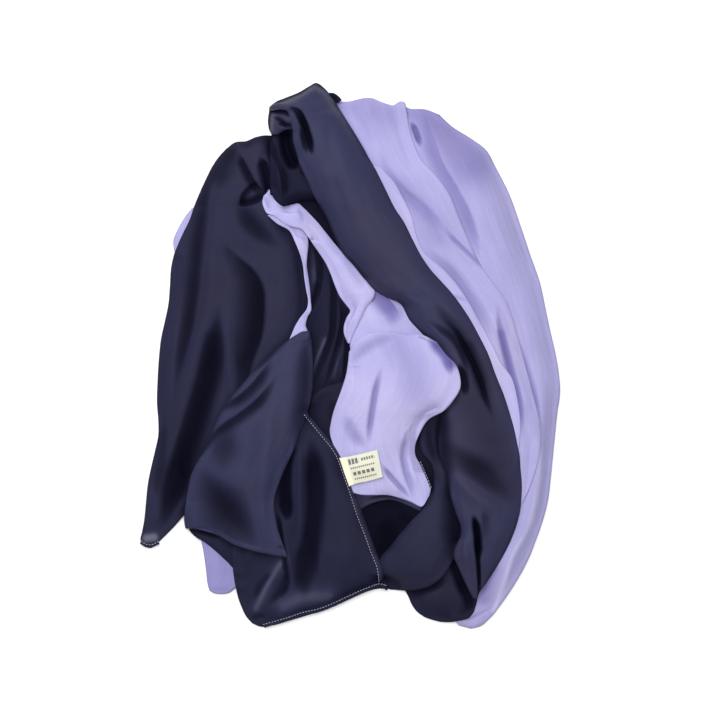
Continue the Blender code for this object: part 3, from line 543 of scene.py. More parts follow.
FRONT = (
    Stretch("neck_panel", NAVY, rows_of(
        (275, 122, 303, 118, 12, 20, 22), (272.5, 130, 304, 126, 13, 21, 23),
        (271.5, 136, 305, 132, 15, 22, 24), (270.5, 143, 306, 139, 18, 26, 27),
        (270.5, 150, 308, 148, 20, 27, 28), (270.5, 170, 316, 168, 22, 29, 28),
        (270.5, 187, 326, 186, 22, 28, 27), (272.5, 195, 330, 194, 21, 27, 26),
        Row((
            (271, 191), (274, 198), (279, 203.5), (285, 206.3), (291, 204), (297, 202.3),
            (332, 202),
        ), (20, 24, 24)),
    ), folds=(
        Fold(((285, 128), (286, 143), (290, 158), (298, 172)), -13, 6, 6, 0.2),
        Fold(((296, 132), (300, 148), (306, 166), (318, 188)), -5, 6, 4),
        Fold(((269, 138), (275, 158), (282, 173), (284.5, 185), (283, 206)), -4.5, 1.8, 4, 0.25),
        Fold(((277, 142), (279, 160), (277, 200)), 1.2, 3, 3),
    ), folded=("left", "end"), roll=1.2, cell=1.1, shade=1.1, settle=4.0),
    Stretch("corner_panel", NAVY, rows_of(
        Row(((290, 424), (299, 417), (309, 415)), (18, 20, 18)),
        (287, 436, 322, 431, 18, 21, 18), (282, 447, 334.5, 446, 18, 21, 17),
        (275, 462, 341.5, 461, 17, 20.5, 16), (265, 478, 348.5, 477, 15, 20, 15),
        (252, 495, 355.5, 494, 13, 19.5, 14), (242, 510, 361, 508, 11, 19, 13),
        (235, 525, 366.5, 524, 8, 18, 12), (232.5, 540, 371.5, 538, 6, 17, 11),
        (232.5, 556, 377, 553, 2, 16, 9), (233.5, 572, 381.5, 566, 0.8, 14, 7),
        Row(((236, 588), (310, 588), (383.5, 575)), (0.8, 11, 5)),
        Row(((240, 603), (275, 609), (310, 603), (345, 589), (384.5, 579)), (0.8, 8, 4)),
        Row((
            (246, 616), (272, 619), (300, 612.5), (330, 602), (352, 592), (372, 585.5), (386, 584),
        ), (0.8, 4, 3)),
        Row((
            (252, 623), (260, 626.5), (272, 625.5), (290, 620.5), (310, 614.5), (330, 608),
            (350, 599), (370, 590.5), (378, 588.5), (388, 589),
        ), (0.6, 0.8, 2.0)),
    ), folds=(
        Fold(((292, 434), (287, 460), (286, 488), (289, 522)), -14, 6, 4.5, 0.2),
        Fold(((299, 436), (300, 480), (299, 530), (296, 565)), 3.6, 4, 6),
        Fold((
            (311, 432), (314, 470), (315, 505), (311, 540), (306, 572), (303, 606),
        ), -8, 7.5, 10, 0.3),
        Fold(((325, 455), (325, 500), (319, 535), (320, 562), (327, 596)), 1.6, 3, 8),
        Fold(((281, 508), (285, 535), (289, 560), (292, 580), (290, 598)), 2.6, 2.5, 4),
        Fold((
            (278, 508), (282, 540), (286.5, 566), (288, 580), (284, 592), (270, 601),
        ), -4, 2.4, 1.5, 0.2),
        Fold(((301, 535), (300, 565), (298, 598)), -2.5, 6, 5),
        Fold(((284, 558), (270, 580), (257, 608)), 1.2, 4, 4),
        Fold(((278, 566), (262, 584), (250, 606)), -2, 3, 3),
        Fold(((290, 566), (281, 588), (264, 612)), -2, 3, 3),
        Fold(((250, 622), (258, 616.5), (268, 616)), -2.0, 2, 2),
        Fold(((340, 465), (346, 510), (345, 560), (333, 590)), 1.5, 12, 12),
    ), tints=(
        Tint(((284, 606), (300, 598), (328, 596)), 0.62, 13),
        Tint(((313, 462), (316, 505), (312, 548)), -1.2, 7),
        Tint(((284, 558), (270, 580), (256, 608)), 0.66, 5),
    ), folded=("left", "right", "end"), fullness=3.2, roll=0.9, cell=1.5, shade=0.5),
    Stretch("front_flap", NAVY, rows_of(
        (302, 331.5, 310, 331, 17, 18, 18), (290, 339, 312, 342, 17, 21, 19),
        (277, 350, 313, 355, 17, 24, 20), (265, 362, 313.5, 370, 18, 27, 21),
        (251, 374.5, 313, 386, 18, 28, 22), (240, 387, 311, 400, 17, 29, 23),
        (230, 400, 308, 411, 16, 29, 24), (220.5, 414, 305, 421, 15, 29, 24),
        (213.6, 430, 300, 434, 14, 28.5, 24), (207, 447, 294, 450, 13, 28, 24),
        (197.5, 462, 288, 463, 12, 27, 24), (191, 476, 281.5, 478, 10, 26, 24),
        (187.5, 493, 276.5, 492, 9, 24, 23), (185, 509, 275, 503, 8, 22, 22),
        (184.3, 520, 277, 520, 8, 20, 21),
        Row(((185, 526), (240, 538), (282, 539)), (7, 17, 19)),
        Row((
            (185.5, 528), (190.6, 528.6), (199, 527.5), (213, 531), (222, 537), (234, 544),
            (247, 548.6), (262, 552.5), (275, 555), (288, 556.3),
        ), (6, 14, 17)),
    ), folds=(
        Fold(((214, 412), (240, 398), (256, 383), (274, 356)), -3.5, 6, 2.4),
        Fold(((200, 452), (220, 430), (240, 416), (258, 402), (280, 372)), -3.5, 6, 2.6),
        Fold(((234, 418), (226, 445), (219, 480)), -2, 12, 12, 0.5),
        Fold(((198, 462), (216, 494), (236, 520), (262, 550)), -5, 17, 16, 0.5),
        Fold(((276, 380), (267, 440), (264, 495), (268, 560)), 3, 9, 9),
        Fold(((304, 330), (307, 380), (303, 415), (292, 455)), -2.5, 9, 5),
        Fold(((192, 526), (213, 530), (234, 542), (262, 550.5), (286, 554)), 1.5, 4, 2),
    ), folded=ALL_ROUND, roll=1.5, cell=1.5),
)

BAND = (
    Stretch("knot_curl", NAVY, rows_of(
        Row(((270, 108.5), (283, 107), (299, 107)), (12, 20, 24)),
        (268.8, 114, 300, 112, 13, 25, 27), (268, 120, 300, 119, 14, 27, 28),
        (268.4, 126, 300, 125, 14, 27, 28), (270, 131.5, 299, 129.5, 14, 26, 27),
        Row(((272.5, 136), (278, 135.6), (285, 131.8), (297, 130.5)), (14, 24, 26)),
    ), folds=(
        Fold(((272, 118), (280, 121), (286, 126), (298, 128)), -4, 2.2, 1.8, 0.3),
        Fold(((277, 126), (283, 125.5), (290, 130)), -3, 2, 2),
        Fold(((270, 112), (284, 113), (298, 119)), -3, 3, 3),
    ), folded=("left", "end"), roll=1.2, cell=1.0, settle=4.0),
    Stretch("main_band", NAVY, rows_of(
        Row((
            (269.6, 112), (270.4, 108), (272.5, 104.8), (276, 102), (284, 98.6), (300, 92),
            (310, 86), (316, 83), (320, 84.5),
        ), (14, 15, 10)),
        Row((
            (271.5, 112.2), (276, 107.5), (287, 104), (302, 97.5), (314, 91.5), (326, 90),
        ), (20, 23, 14)),
        Row(((275, 112), (284, 108.8), (300, 105), (331, 97)), (25, 28, 17)),
        Row(((281, 111.3), (290, 110.8), (304, 109), (336, 104)), (27, 31, 19)),
        Row(((288, 113.5), (300, 114), (339, 109)), (29, 33, 21)),
        (291, 122, 342, 114, 31, 37, 24), (293, 132, 350, 127, 31, 40, 27),
        (294, 144, 362, 147, 31, 42, 28), (297, 155, 368, 158, 31, 42, 28),
        (300, 166, 375, 170, 31, 42, 29), (305, 177, 380, 180, 31, 42, 29),
        (310, 188, 385, 190, 30, 41, 29), (319, 206, 395, 210, 28, 40, 29),
        (326, 218, 403, 222, 27, 39, 29), (335, 240, 413, 242, 25, 38, 28),
        (343, 254, 421, 257, 24, 37, 28), (352, 264, 430, 270, 23, 36, 27),
        (363, 277, 439, 280, 23, 35, 26), (374, 290, 449, 291, 23, 34, 26),
        (387, 298, 457, 301, 23, 33, 25), (400, 304, 464, 311, 23, 33, 25),
        (409, 320, 471, 322, 22, 32, 24), (420, 332, 478, 335, 22, 31, 24),
        (436, 348, 487, 353, 21, 29, 23), (441, 372, 495, 375, 20, 28, 22),
        (440, 396, 503.5, 396, 20, 27, 21), (440, 421, 511, 420, 20, 27, 20),
        (438.5, 432, 514, 431, 20, 27, 19), (438, 445, 516.5, 443, 21, 26, 18),
        (440, 458, 519, 457, 21, 26, 18), (444, 469, 520, 470, 21, 25, 17),
        (447, 480, 521, 481, 21, 25.5, 16), (450, 496, 521, 494, 21, 26, 16),
        (455, 512, 519, 513, 21, 26, 15), (460, 525, 516, 525, 21, 25, 14),
        (460, 534, 512, 536, 21, 24, 13), (453.5, 549, 505, 551, 20, 22, 11),
        (453.5, 557, 499, 562, 20, 21, 10), (456.5, 564, 494, 570, 19, 19, 9),
        (460, 572, 489, 578, 17, 17, 8), (464, 581, 484, 585, 15, 15, 7),
        (469, 591, 479, 592, 13, 13, 7), (473, 598, 477, 598, 10, 10, 7),
    ), folds=(
        Fold((
            (286, 110), (293, 110), (299, 113), (304, 122), (308, 133), (311, 144), (313, 160),
        ), -12, 4, 1.8, 0.3),
        Fold(((300, 128), (304, 140), (307, 158)), -5, 3, 3),
        Fold(((322, 120), (345, 190), (370, 240), (400, 282)), 2.5, 16, 16),
        Fold(((324, 108), (330, 150), (337, 192), (352, 236)), -1.2, 7, 7),
        Fold((
            (428, 292), (444, 318), (456, 332), (466, 350), (473, 364), (480, 382), (497, 428),
        ), -3, 7, 8, 0.4),
        Fold((
            (442, 317), (456, 332), (466, 350), (473, 364), (480, 381), (485, 398), (494, 420),
        ), -6, 2.4, 2),
        Fold(((424, 320), (441, 331), (455, 342), (463, 356), (468, 384)), -2.6, 3, 4),
        Fold(((458, 362), (463, 376), (466, 398)), -5, 4, 3),
        Fold(((442, 392), (441, 430), (443, 460), (450, 500)), -4, 5, 7),
        Fold(((430, 438), (456, 454), (480, 470), (498, 486), (522, 506)), -3.4, 12, 11, 0.5),
        Fold(((448, 472), (475, 495), (504, 515)), 2.4, 8, 8),
        Fold(((472, 513), (475.5, 525), (477.5, 540), (478, 562)), -12, 2.8, 2.6, 0.3),
        Fold(((475, 530), (477.5, 558), (479, 584), (478, 602)), -8, 1.6, 1.3, 0.2),
        Fold(((481, 504), (484, 520), (482, 545)), -1.2, 3, 6),
        Fold(((460, 492), (463, 540), (470, 584)), 2.4, 4, 5),
    ), tints=(
        Tint(((470, 400), (490, 440), (500, 480)), -0.3, 18),
        Tint(((468, 346), (474, 362), (480, 380)), -1.2, 4),
    ), folded=ALL_ROUND, roll=1.6, cell=1.5, settle=4.0),
)

BILLOW = (
    Stretch("lilac_billow", LILAC, rows_of(
        Row((
            (349, 352), (356, 341), (366, 334.5), (378, 332.3), (390, 332), (405, 334),
            (420, 334.5), (436, 342),
        ), (16, 20, 20)),
        Row(((348.5, 358), (370, 346), (400, 342), (430, 345), (445, 354)), (16, 23, 25)),
        Row(((347.5, 366), (380, 362), (420, 362), (455.5, 365)), (16, 25, 29)),
        (346, 375, 459.3, 376, 16, 26, 30), (342, 388, 459.5, 388, 16, 26, 30),
        (338, 399, 453.5, 399, 16, 26, 29), (334, 410, 443.5, 410.5, 16, 26, 25),
        (331.3, 421, 428.5, 419, 16.5, 25.5, 23), (330, 433, 420, 432, 17, 25, 22),
        (333, 443, 415.5, 443, 16, 24.5, 21), (338, 455, 415, 454, 16, 24, 20),
        (343, 468, 421, 465.5, 16, 23, 20), (347, 479, 427, 478, 16, 22, 20),
        Row(((349.5, 487), (400, 489), (430.5, 487)), (16, 21, 19.5)),
        Row((
            (351, 491.5), (360, 494), (375, 494.5), (388, 494.5), (400, 497.5), (412, 502),
            (421, 506), (429, 495),
        ), (16, 18.5, 18)),
    ), folds=(
        Fold((
            (384, 362), (379, 378), (376, 390), (374, 402), (372, 415), (370, 430), (369, 452),
        ), -5, 3, 2),
        Fold(((343, 412), (355, 437), (369, 450)), -3, 6, 6),
        Fold(((426, 332), (438, 346), (448, 360), (451, 378)), -12, 5, 2.2, 0.3),
        Fold((
            (418, 420), (408, 432), (404, 445), (403, 456), (407, 477), (411, 488), (417, 506),
        ), -3.5, 2.4, 4),
        Fold(((380, 462), (390, 476), (397, 484), (412, 501)), -5, 2, 2.4),
        Fold(((348, 372), (358, 356), (370, 347), (385, 340), (404, 335)), -2.5, 5, 6),
        Fold(((398, 362), (391, 430), (385, 465)), 1.5, 10, 12),
        Fold(((411, 424), (403, 446)), 1.5, 4, 2),
        Fold(((409, 446), (412, 466), (419, 492)), 1.6, 2, 3),
    ), tints=(
        Tint(((400, 348), (412, 370), (416, 392)), -0.2, 16),
        Tint(((438, 346), (446, 354.5), (450, 363)), -2.6, 4.2),
    ), folded=ALL_ROUND, roll=1.1, cell=1.4),
)

LABEL = Stretch("woven_label", LABEL_TAPE, rows_of(
    Row(((339.6, 457.7), (358, 454), (377.4, 449.1)), (20, 26, 26)),
    (344.2, 471.8, 380, 463, 20, 26, 26),
    Row(((349.2, 485.5), (358, 482.5), (366, 481), (382.7, 476.4)), (19, 24, 25)),
), folds=(
    Fold(((352, 452), (360, 484)), 0.5, 6, 8),
), folded=ALL_ROUND, fullness=4.0, roll=0.35, cell=0.9, gap=0.4)


class Grain(NamedTuple):
    """A noise that is drawn out across or along the cloth."""

    across: float  # scale per metre across the cloth
    along: float  # scale per metre along it
    detail: float
    light: float  # share of the light that it varies
    height: float  # how high it stands


CROSS_SLUBS = Grain(40.0, 520.0, 1.0, 0.05, 0.6)
STREAKS = Grain(120.0, 10.0, 2.0, 0.2, 6.0)


class Weave(NamedTuple):
    """How a face of the twill takes the light, apart from its colours."""

    slubs: Grain
    roughness: float
    satin_roughness: float
    sheen_tint: tuple


WEAVES = {
    NAVY: Weave(Grain(650.0, 26.0, 2.0, 0.16, 1.3), 0.56, 0.55, (0.55, 0.55, 0.9, 1.0)),
    LILAC: Weave(Grain(650.0, 26.0, 2.0, 0.22, 1.3), 0.66, 0.6, (0.9, 0.88, 1.0, 1.0)),
}


class MarkRow(NamedTuple):
    """A row of dashes woven into the label, in metres across and along it."""

    start: float  # along the label
    end: float
    pitch: float  # from one dash to the next
    filled: float  # share of the pitch that a dash fills
    left: float
    right: float


LABEL_MARKS = (
    MarkRow(0.0030, 0.0085, 0.0036, 0.72, -0.0120, -0.0010),
    MarkRow(0.0040, 0.0070, 0.0026, 0.66, 0.0015, 0.0150),
    MarkRow(0.0115, 0.0132, 0.0021, 0.62, -0.0110, 0.0140),
    MarkRow(0.0165, 0.0200, 0.0046, 0.70, -0.0100, 0.0130),
    MarkRow(0.0230, 0.0246, 0.0021, 0.62, -0.0100, 0.0125),
)


class Number:
    """A number in a node tree, so that its maths reads as Python sums."""

    def __init__(self, tree, socket):
        self.tree = tree
        self.socket = socket

    def maths(self, operation, first, second=0.0):
        settings = {"operation": operation}
        return self.tree.number("ShaderNodeMath", settings, {0: first, 1: second})

    def __add__(self, other):
        return self.maths("ADD", self, other)

    def __sub__(self, other):
        return self.maths("SUBTRACT", self, other)

    def __rsub__(self, other):
        return self.maths("SUBTRACT", other, self)

    def __mul__(self, other):
        return self.maths("MULTIPLY", self, other)

    def __truediv__(self, other):
        return self.maths("DIVIDE", self, other)

    def __rtruediv__(self, other):
        return self.maths("DIVIDE", other, self)

    def __pow__(self, other):
        return self.maths("POWER", self, other)

    __radd__ = __add__
    __rmul__ = __mul__

    def wave(self):
        return self.maths("SINE", self)

    def wrapped(self):
        return self.maths("FRACT", self)

    def above(self, edge):
        return self.maths("GREATER_THAN", self, edge)

    def below(self, edge):
        return self.maths("LESS_THAN", self, edge)

    def at_most(self, most):
        return self.maths("MINIMUM", self, most)

    def at_least(self, least):
        return self.maths("MAXIMUM", self, least)


class Tree:
    """A node tree, and the one way that nodes are added to it."""

    def __init__(self, tree):
        self.tree = tree
        self.tree.nodes.clear()

    def node(self, kind, settings=None, inputs=None):
        """A new node, with its settings made and its inputs set or linked."""
        node = self.tree.nodes.new(kind)
        for name, value in (settings or {}).items():
            setattr(node, name, value)
        for name, value in (inputs or {}).items():
            value = value.socket if isinstance(value, Number) else value
            if isinstance(value, bpy.types.NodeSocket):
                self.tree.links.new(value, node.inputs[name])
            else:
                node.inputs[name].default_value = value
        return node

    def number(self, kind, settings=None, inputs=None, output=0):
        return Number(self, self.node(kind, settings, inputs).outputs[output])


class Shader(Tree):
    """A material's node tree, with what the scarf's materials are made from."""

    def __init__(self, name):
        self.material = bpy.data.materials.new(name)
        self.material.use_nodes = True
        super().__init__(self.material.node_tree)

    def weave_place(self):
        """How far across and along the cloth a point is, in metres."""
        place = self.node("ShaderNodeUVMap", {"uv_map": "Weave"}).outputs[0]
        parts = self.node("ShaderNodeSeparateXYZ", None, {0: place})
        return Number(self, parts.outputs[0]), Number(self, parts.outputs[1])

    def vector(self, x, y, z=0.0):
        return self.node("ShaderNodeCombineXYZ", None, {0: x, 1: y, 2: z}).outputs[0]

    def noise(self, place, scale, detail=2.0, roughness=0.5):
        inputs = {"Vector": place, "Scale": scale, "Detail": detail, "Roughness": roughness}
        return self.number("ShaderNodeTexNoise", None, inputs)

    def grain(self, across, along, grain):
        """A grain of the cloth, from how far across and along the cloth a point is."""
        place = self.vector(across * grain.across, along * grain.along)
        return self.noise(place, 1.0, grain.detail)

    def attribute(self, name):
        return self.number("ShaderNodeAttribute", {"attribute_name": name}, output=2)

    def mixed(self, share, first, second):
        """The second colour in its share, and the first for the rest."""
        settings = {"data_type": "RGBA", "clamp_factor": True}
        node = self.node("ShaderNodeMix", settings, {0: share, 6: first, 7: second})
        return node.outputs[2]

    def finish(self, colour, roughness, height, depth, fixed, shade=None, deep=None):
        """The surface: what varies over it, its bump and fixed values, and a matt deep colour mixed
        in as painted shade.
        """
        relief = {"Strength": 1.0, "Distance": depth, "Height": height}
        bump = self.node("ShaderNodeBump", None, relief)
        inputs = {"Base Color": colour, "Roughness": roughness, "Normal": bump.outputs[0], **fixed}
        surface = self.node("ShaderNodeBsdfPrincipled", None, inputs)
        if shade is not None:
            matt = {"Base Color": deep, "Roughness": 1.0, "Specular IOR Level": 0.0}
            matt = self.node("ShaderNodeBsdfPrincipled", None, matt)
            parts = {0: shade, 1: matt.outputs[0], 2: surface.outputs[0]}
            surface = self.node("ShaderNodeMixShader", None, parts)
        self.node("ShaderNodeOutputMaterial", None, {"Surface": surface.outputs[0]})
        return self.material


def opaque(colour, gain=1.0):
    return tuple(part * gain for part in colour) + (1.0,)


def face_looks(context, face):
    """The scene's settings for one face of the twill, by their short names."""
    looks = context.scene.scarf_colours
    kind = "navy_" if face == NAVY else "lilac_"
    names = ("lit", "warm", "deep", "thin", "satin", "sheen", "trough")
    return {name: getattr(looks, kind + name) for name in names}


def cloth_material(context, face):
    """One face of the twill: its weave, slubs, mottling, shade painted into its troughs and
    streaks, and thin patches.
    """
    name = FINISHES[face]
    if name in bpy.data.materials:
        return bpy.data.materials[name]
    if face == LABEL_TAPE:
        return label_material(context, name)
    looks = face_looks(context, face)
    weave = WEAVES[face]
    shader = Shader(name)
    across, along = shader.weave_place()
    turn = 2 * math.pi / context.scene.scarf_cloth.twill_pitch
    twill = ((across + along) * turn).wave()
    slubs = shader.grain(across, along, weave.slubs)
    cross_slubs = shader.grain(across, along, CROSS_SLUBS)
    streaks = shader.grain(across, along, STREAKS)
    place = shader.node("ShaderNodeTexCoord").outputs["Object"]
    mottle = shader.noise(place, *MOTTLE)
    patches = ((shader.noise(place, *PATCHES) - 0.5) * PATCH_GAIN).at_least(0.0).at_most(1.0)
    # Painted shade: depth in troughs and under other cloth, and tints below nought, mix in the matt
    # deep colour.
    tint = shader.attribute("tint")
    trough = (shader.attribute("hollow") * looks["trough"]) ** TROUGH_POWER
    shade = 1.0 / (1.0 + trough + (tint * -1.0).at_least(0.0) * TINT_DEPTH)
    light = 1.0 + (mottle - 0.5) * MOTTLE_LIGHT + (slubs - 0.5) * weave.slubs.light
    light = light + (cross_slubs - 0.5) * CROSS_SLUBS.light + (streaks - 0.5) * STREAKS.light
    dye = shader.mixed(patches, opaque(looks["lit"], 2.0), opaque(looks["warm"], 2.0))
    colour = shader.mixed(light * 0.5, opaque((0.0, 0.0, 0.0)), dye)
    colour = shader.mixed(tint.at_least(0.0).at_most(1.0), colour, opaque(looks["thin"]))
    roughness = weave.roughness + (mottle - 0.5) * MOTTLE_ROUGHNESS + (slubs - 0.5) * SLUB_ROUGHNESS
    height = twill * TWILL_HEIGHT + slubs * weave.slubs.height + cross_slubs * CROSS_SLUBS.height
    height = height + streaks * STREAKS.height + mottle * MOTTLE_HEIGHT
    fixed = {
        "Specular IOR Level": 0.1,
        "Coat Weight": looks["satin"],
        "Coat Roughness": weave.satin_roughness,
        "Coat IOR": 1.5,
        "Sheen Weight": looks["sheen"],
        "Sheen Roughness": 0.4,
        "Sheen Tint": weave.sheen_tint,
    }
    # The matt deep colour of the painted shade.
    deep = opaque(looks["deep"])
    return shader.finish(colour, roughness, height, GRAIN_RELIEF, fixed, shade, deep)


def label_material(context, name):
    """Cream satin-woven tape, with plain woven dashes in rows and a yellower folded end."""
    looks = context.scene.scarf_colours
    shader = Shader(name)
    across, along = shader.weave_place()
    ribs = (along * (2 * math.pi / TAPE_RIB)).wave()
    warp = (across * (2 * math.pi / TAPE_WARP)).wave()
    wear = shader.noise(shader.vector(across, along), *TAPE_WEAR)
    marks = 0.0
    for row in LABEL_MARKS:
        in_row = along.above(row.start) * along.below(row.end)
        in_row = in_row * across.above(row.left) * across.below(row.right)
        dash = ((across - row.left) / row.pitch).wrapped().below(row.filled)
        marks = in_row * dash + marks
    past_fold = (across - LABEL_FOLDED_END) / LABEL_FOLD_BLEND
    folded_end = 1.0 - past_fold.at_least(0.0).at_most(1.0)
    cream = shader.mixed(folded_end, opaque(looks.label), opaque(looks.label_end))
    cream = shader.mixed((wear - WEAR_START) * WEAR_SHARE, cream, opaque(looks.label, WORN))
    colour = shader.mixed(marks.at_most(1.0) * MARK_SHARE, cream, opaque(looks.label_marks))
    roughness = 0.52 + (wear - 0.5) * 0.2
    height = ribs * 0.5 + warp * 0.3 + marks * 0.6
    fixed = {"Specular IOR Level": 0.3, "Sheen Weight": 0.15, "Sheen Roughness": 0.4}
    return shader.finish(colour, roughness, height, TAPE_RELIEF, fixed)


def thread_material(context):
    """Pale spun sewing thread."""
    looks = context.scene.scarf_colours
    shader = Shader("hem sewing thread")
    place = shader.node("ShaderNodeTexCoord").outputs["Object"]
    fuzz = shader.noise(place, *THREAD_FUZZ)
    runs = shader.noise(place, *THREAD_RUNS)
    shaded = opaque(looks.thread, THREAD_SHADED)
    colour = shader.mixed(fuzz * 0.5 + runs * 0.3, opaque(looks.thread), shaded)
    fixed = {"Specular IOR Level": 0.3, "Sheen Weight": 0.2, "Sheen Roughness": 0.5}
    return shader.finish(colour, 0.6 + (fuzz - 0.5) * 0.2, fuzz, THREAD_RELIEF, fixed)


def floor_material(colour):
    """The plain pale table."""
    shader = Shader("pale table")
    place = shader.node("ShaderNodeTexCoord").outputs["Object"]
    grain = shader.noise(place, *TABLE_GRAIN)
    shade = shader.mixed(grain * 0.04, opaque(colour), opaque(colour, TABLE_SHADED))
    roughness = 0.8 + (grain - 0.5) * 0.05
    return shader.finish(shade, roughness, grain, TABLE_RELIEF, {"Specular IOR Level": 0.1})


def smooth_step(value):
    """Eases from 0 to 1 with no corner at either end."""
    value = np.clip(value, 0.0, 1.0)
    return value * value * (3.0 - 2.0 * value)


def through(values, stations, wanted):
    """A smooth curve through the values at their stations, read at the wanted stations."""
    values = np.asarray(values, float)
    steps = np.diff(stations)
    slopes = np.diff(values, axis=0) / steps[:, None]
    tangents = np.empty_like(values)
    tangents[0] = slopes[0]
    tangents[-1] = slopes[-1]
    ahead = steps[1:, None]
    behind = steps[:-1, None]
    tangents[1:-1] = (slopes[:-1] * ahead + slopes[1:] * behind) / (ahead + behind)
    index = np.clip(np.searchsorted(stations, wanted, side="right") - 1, 0, len(steps) - 1)
    step = steps[index][:, None]
    t = ((wanted - stations[index]) / steps[index])[:, None]
    return (
        (2 * t**3 - 3 * t**2 + 1) * values[index]
        + (t**3 - 2 * t**2 + t) * step * tangents[index]
        + (3 * t**2 - 2 * t**3) * values[index + 1]
        + (t**3 - t**2) * step * tangents[index + 1]
    )


def run_lengths(line):
    """How far along a line of points each point is."""
    steps = np.linalg.norm(np.diff(line, axis=0), axis=-1)
    return np.concatenate(((0.0,), np.cumsum(steps)))


def near_route(points, route):
    """How far plan points are from a route, how far along it and on which side (left below 0)."""
    lengths = run_lengths(route)
    nearest = np.full(points.shape[:-1], np.inf)
    along = np.zeros_like(nearest)
    side = np.zeros_like(nearest)
    for start, end, before, after in zip(route, route[1:], lengths, lengths[1:]):
        ahead = (end - start) / max(after - before, TINY)
        offset = points - start
        run = np.clip(offset @ ahead, 0.0, after - before)
        apart = np.linalg.norm(offset - run[..., None] * ahead, axis=-1)
        turn = ahead[1] * offset[..., 0] - ahead[0] * offset[..., 1]
        closer = apart < nearest
        nearest = np.where(closer, apart, nearest)
        along = np.where(closer, before + run, along)
        side = np.where(closer, turn, side)
    return nearest, along, side, lengths[-1]


def smooth_route(route):
    """A route's points with a smooth curve through them, read at even steps."""
    route = np.asarray(route, float)
    lengths = run_lengths(route)
    count = max(2, round(lengths[-1] / ROUTE_STEP) + 1)
    return through(route, lengths, np.linspace(0.0, lengths[-1], count))


def fold_rise(fold, points):
    """Millimetres that a fold adds at plan points, dying out at the ends of its route."""
    apart, along, side, length = near_route(points, smooth_route(fold.route))
    fade = smooth_step(np.minimum(along, length - along) / (fold.fade * length))
    reach = np.where(side < 0, fold.left, fold.right) * (TIP_REACH + (1 - TIP_REACH) * fade)
    return fold.rise * fade * np.exp(-((apart / reach) ** 2))


def tint_amount(tints, points):
    """How pale, or how deep in painted shade, the cloth reads at plan points."""
    total = np.zeros(points.shape[:-1])
    for tint in tints:
        apart = near_route(points, smooth_route(tint.route))[0]
        total += tint.amount * np.exp(-((apart / tint.reach) ** 2))
    return total


class Heap:
    """How high the cloth laid so far reaches, in millimetres, on a raster of the layout."""

    def __init__(self, tops):
        self.tops = tops

    def add(self, grid):
        """Raises the raster to the top of a stretch's grid of points."""
        steps = (np.arange(SPREAD) + 0.5) / SPREAD
        for down in steps:
            for right in steps:
                place = (
                    grid[:-1, :-1] * (1 - down) * (1 - right)
                    + grid[:-1, 1:] * (1 - down) * right
                    + grid[1:, :-1] * down * (1 - right)
                    + grid[1:, 1:] * down * right
                ).reshape(-1, 3)
                column, row = np.rint(place[:, :2]).astype(int).T
                np.maximum.at(self.tops, (row, column), place[:, 2])

    def under(self, points, reach):
        """The highest top within a reach of each plan point."""
        widest = self.tops
        for axis in (0, 1):
            shifted = [np.roll(widest, step, axis) for step in range(-reach, reach + 1)]
            widest = np.max(shifted, axis=0)
        cell = np.floor(points[..., :2]).astype(int)
        column, row = np.moveaxis(cell, -1, 0)
        right, down = np.moveaxis(points[..., :2] - cell, -1, 0)
        upper = widest[row, column] * (1 - right) + widest[row, column + 1] * right
        lower = widest[row + 1, column] * (1 - right) + widest[row + 1, column + 1] * right
        return upper * (1 - down) + lower * down


HEAP = Heap(np.zeros((LAYOUT_SIZE, LAYOUT_SIZE)))


def line_across(places):
    """A row's line as evenly spaced points."""
    places = np.asarray(places, float)
    lengths = run_lengths(places)
    if len(places) == 2:
        wanted = np.linspace(0.0, lengths[-1], ROW_POINTS)[:, None]
        return places[0] + (places[1] - places[0]) * wanted / lengths[-1]
    return through(places, lengths, np.linspace(0.0, lengths[-1], ROW_POINTS))


def shares_along(length, cell, close_start, close_end):
    """Even stations from 0 to 1, with closer ones near an end that shows."""
    count = max(4, round(length / cell))
    shares = list(np.linspace(0.0, 1.0, count + 1))
    for close, place in ((close_start, lambda s: s), (close_end, lambda s: 1 - s)):
        if close:
            shares += [place(step / count) for step in CLOSE_STEPS]
    return np.array(sorted(shares))


def blurred(values, rounds):
    """A grid of values averaged with its neighbours."""
    for _ in range(rounds):
        padded = np.pad(values, 1, mode="edge")
        sides = padded[:-2, 1:-1] + padded[2:, 1:-1] + padded[1:-1, :-2] + padded[1:-1, 2:]
        values = 0.5 * values + 0.125 * sides
    return values


def shaped_grid(stretch):
    """A stretch's top before it is laid, and how deep its own folds take each point."""
    lines = np.array([line_across(row.places) for row in stretch.rows])
    middles = lines.mean(axis=1)
    stations = run_lengths(middles)
    closes = ["start" in stretch.folded, "end" in stretch.folded]
    down = shares_along(stations[-1], stretch.cell, *closes) * stations[-1]
    lines = through(lines.reshape(len(lines), -1), stations, down).reshape(len(down), ROW_POINTS, 2)
    heights = through([row.heights for row in stretch.rows], stations, down)
    width = np.linalg.norm(np.diff(lines, axis=1), axis=-1).sum(axis=1).mean()
    closes = ["left" in stretch.folded, "right" in stretch.folded]
    across = shares_along(width, stretch.cell, *closes)
    at = across * (ROW_POINTS - 1)
    lower = np.minimum(at.astype(int), ROW_POINTS - 2)
    part = (at - lower)[None, :, None]
    grid = np.empty((len(down), len(across), 3))
    grid[..., :2] = lines[:, lower] * (1 - part) + lines[:, lower + 1] * part
    edge = heights[:, :1] + (heights[:, 2:] - heights[:, :1]) * across
    crown = heights[:, 1:2] - (heights[:, :1] + heights[:, 2:]) / 2
    grid[..., 2] = edge + crown * (1 - np.abs(2 * across - 1) ** stretch.fullness) + LAYER
    relief = np.zeros(grid.shape[:2])
    for fold in stretch.folds:
        relief += fold_rise(fold, grid[..., :2])
    grid[..., 2] += relief
    return grid, np.maximum(-relief, 0.0)


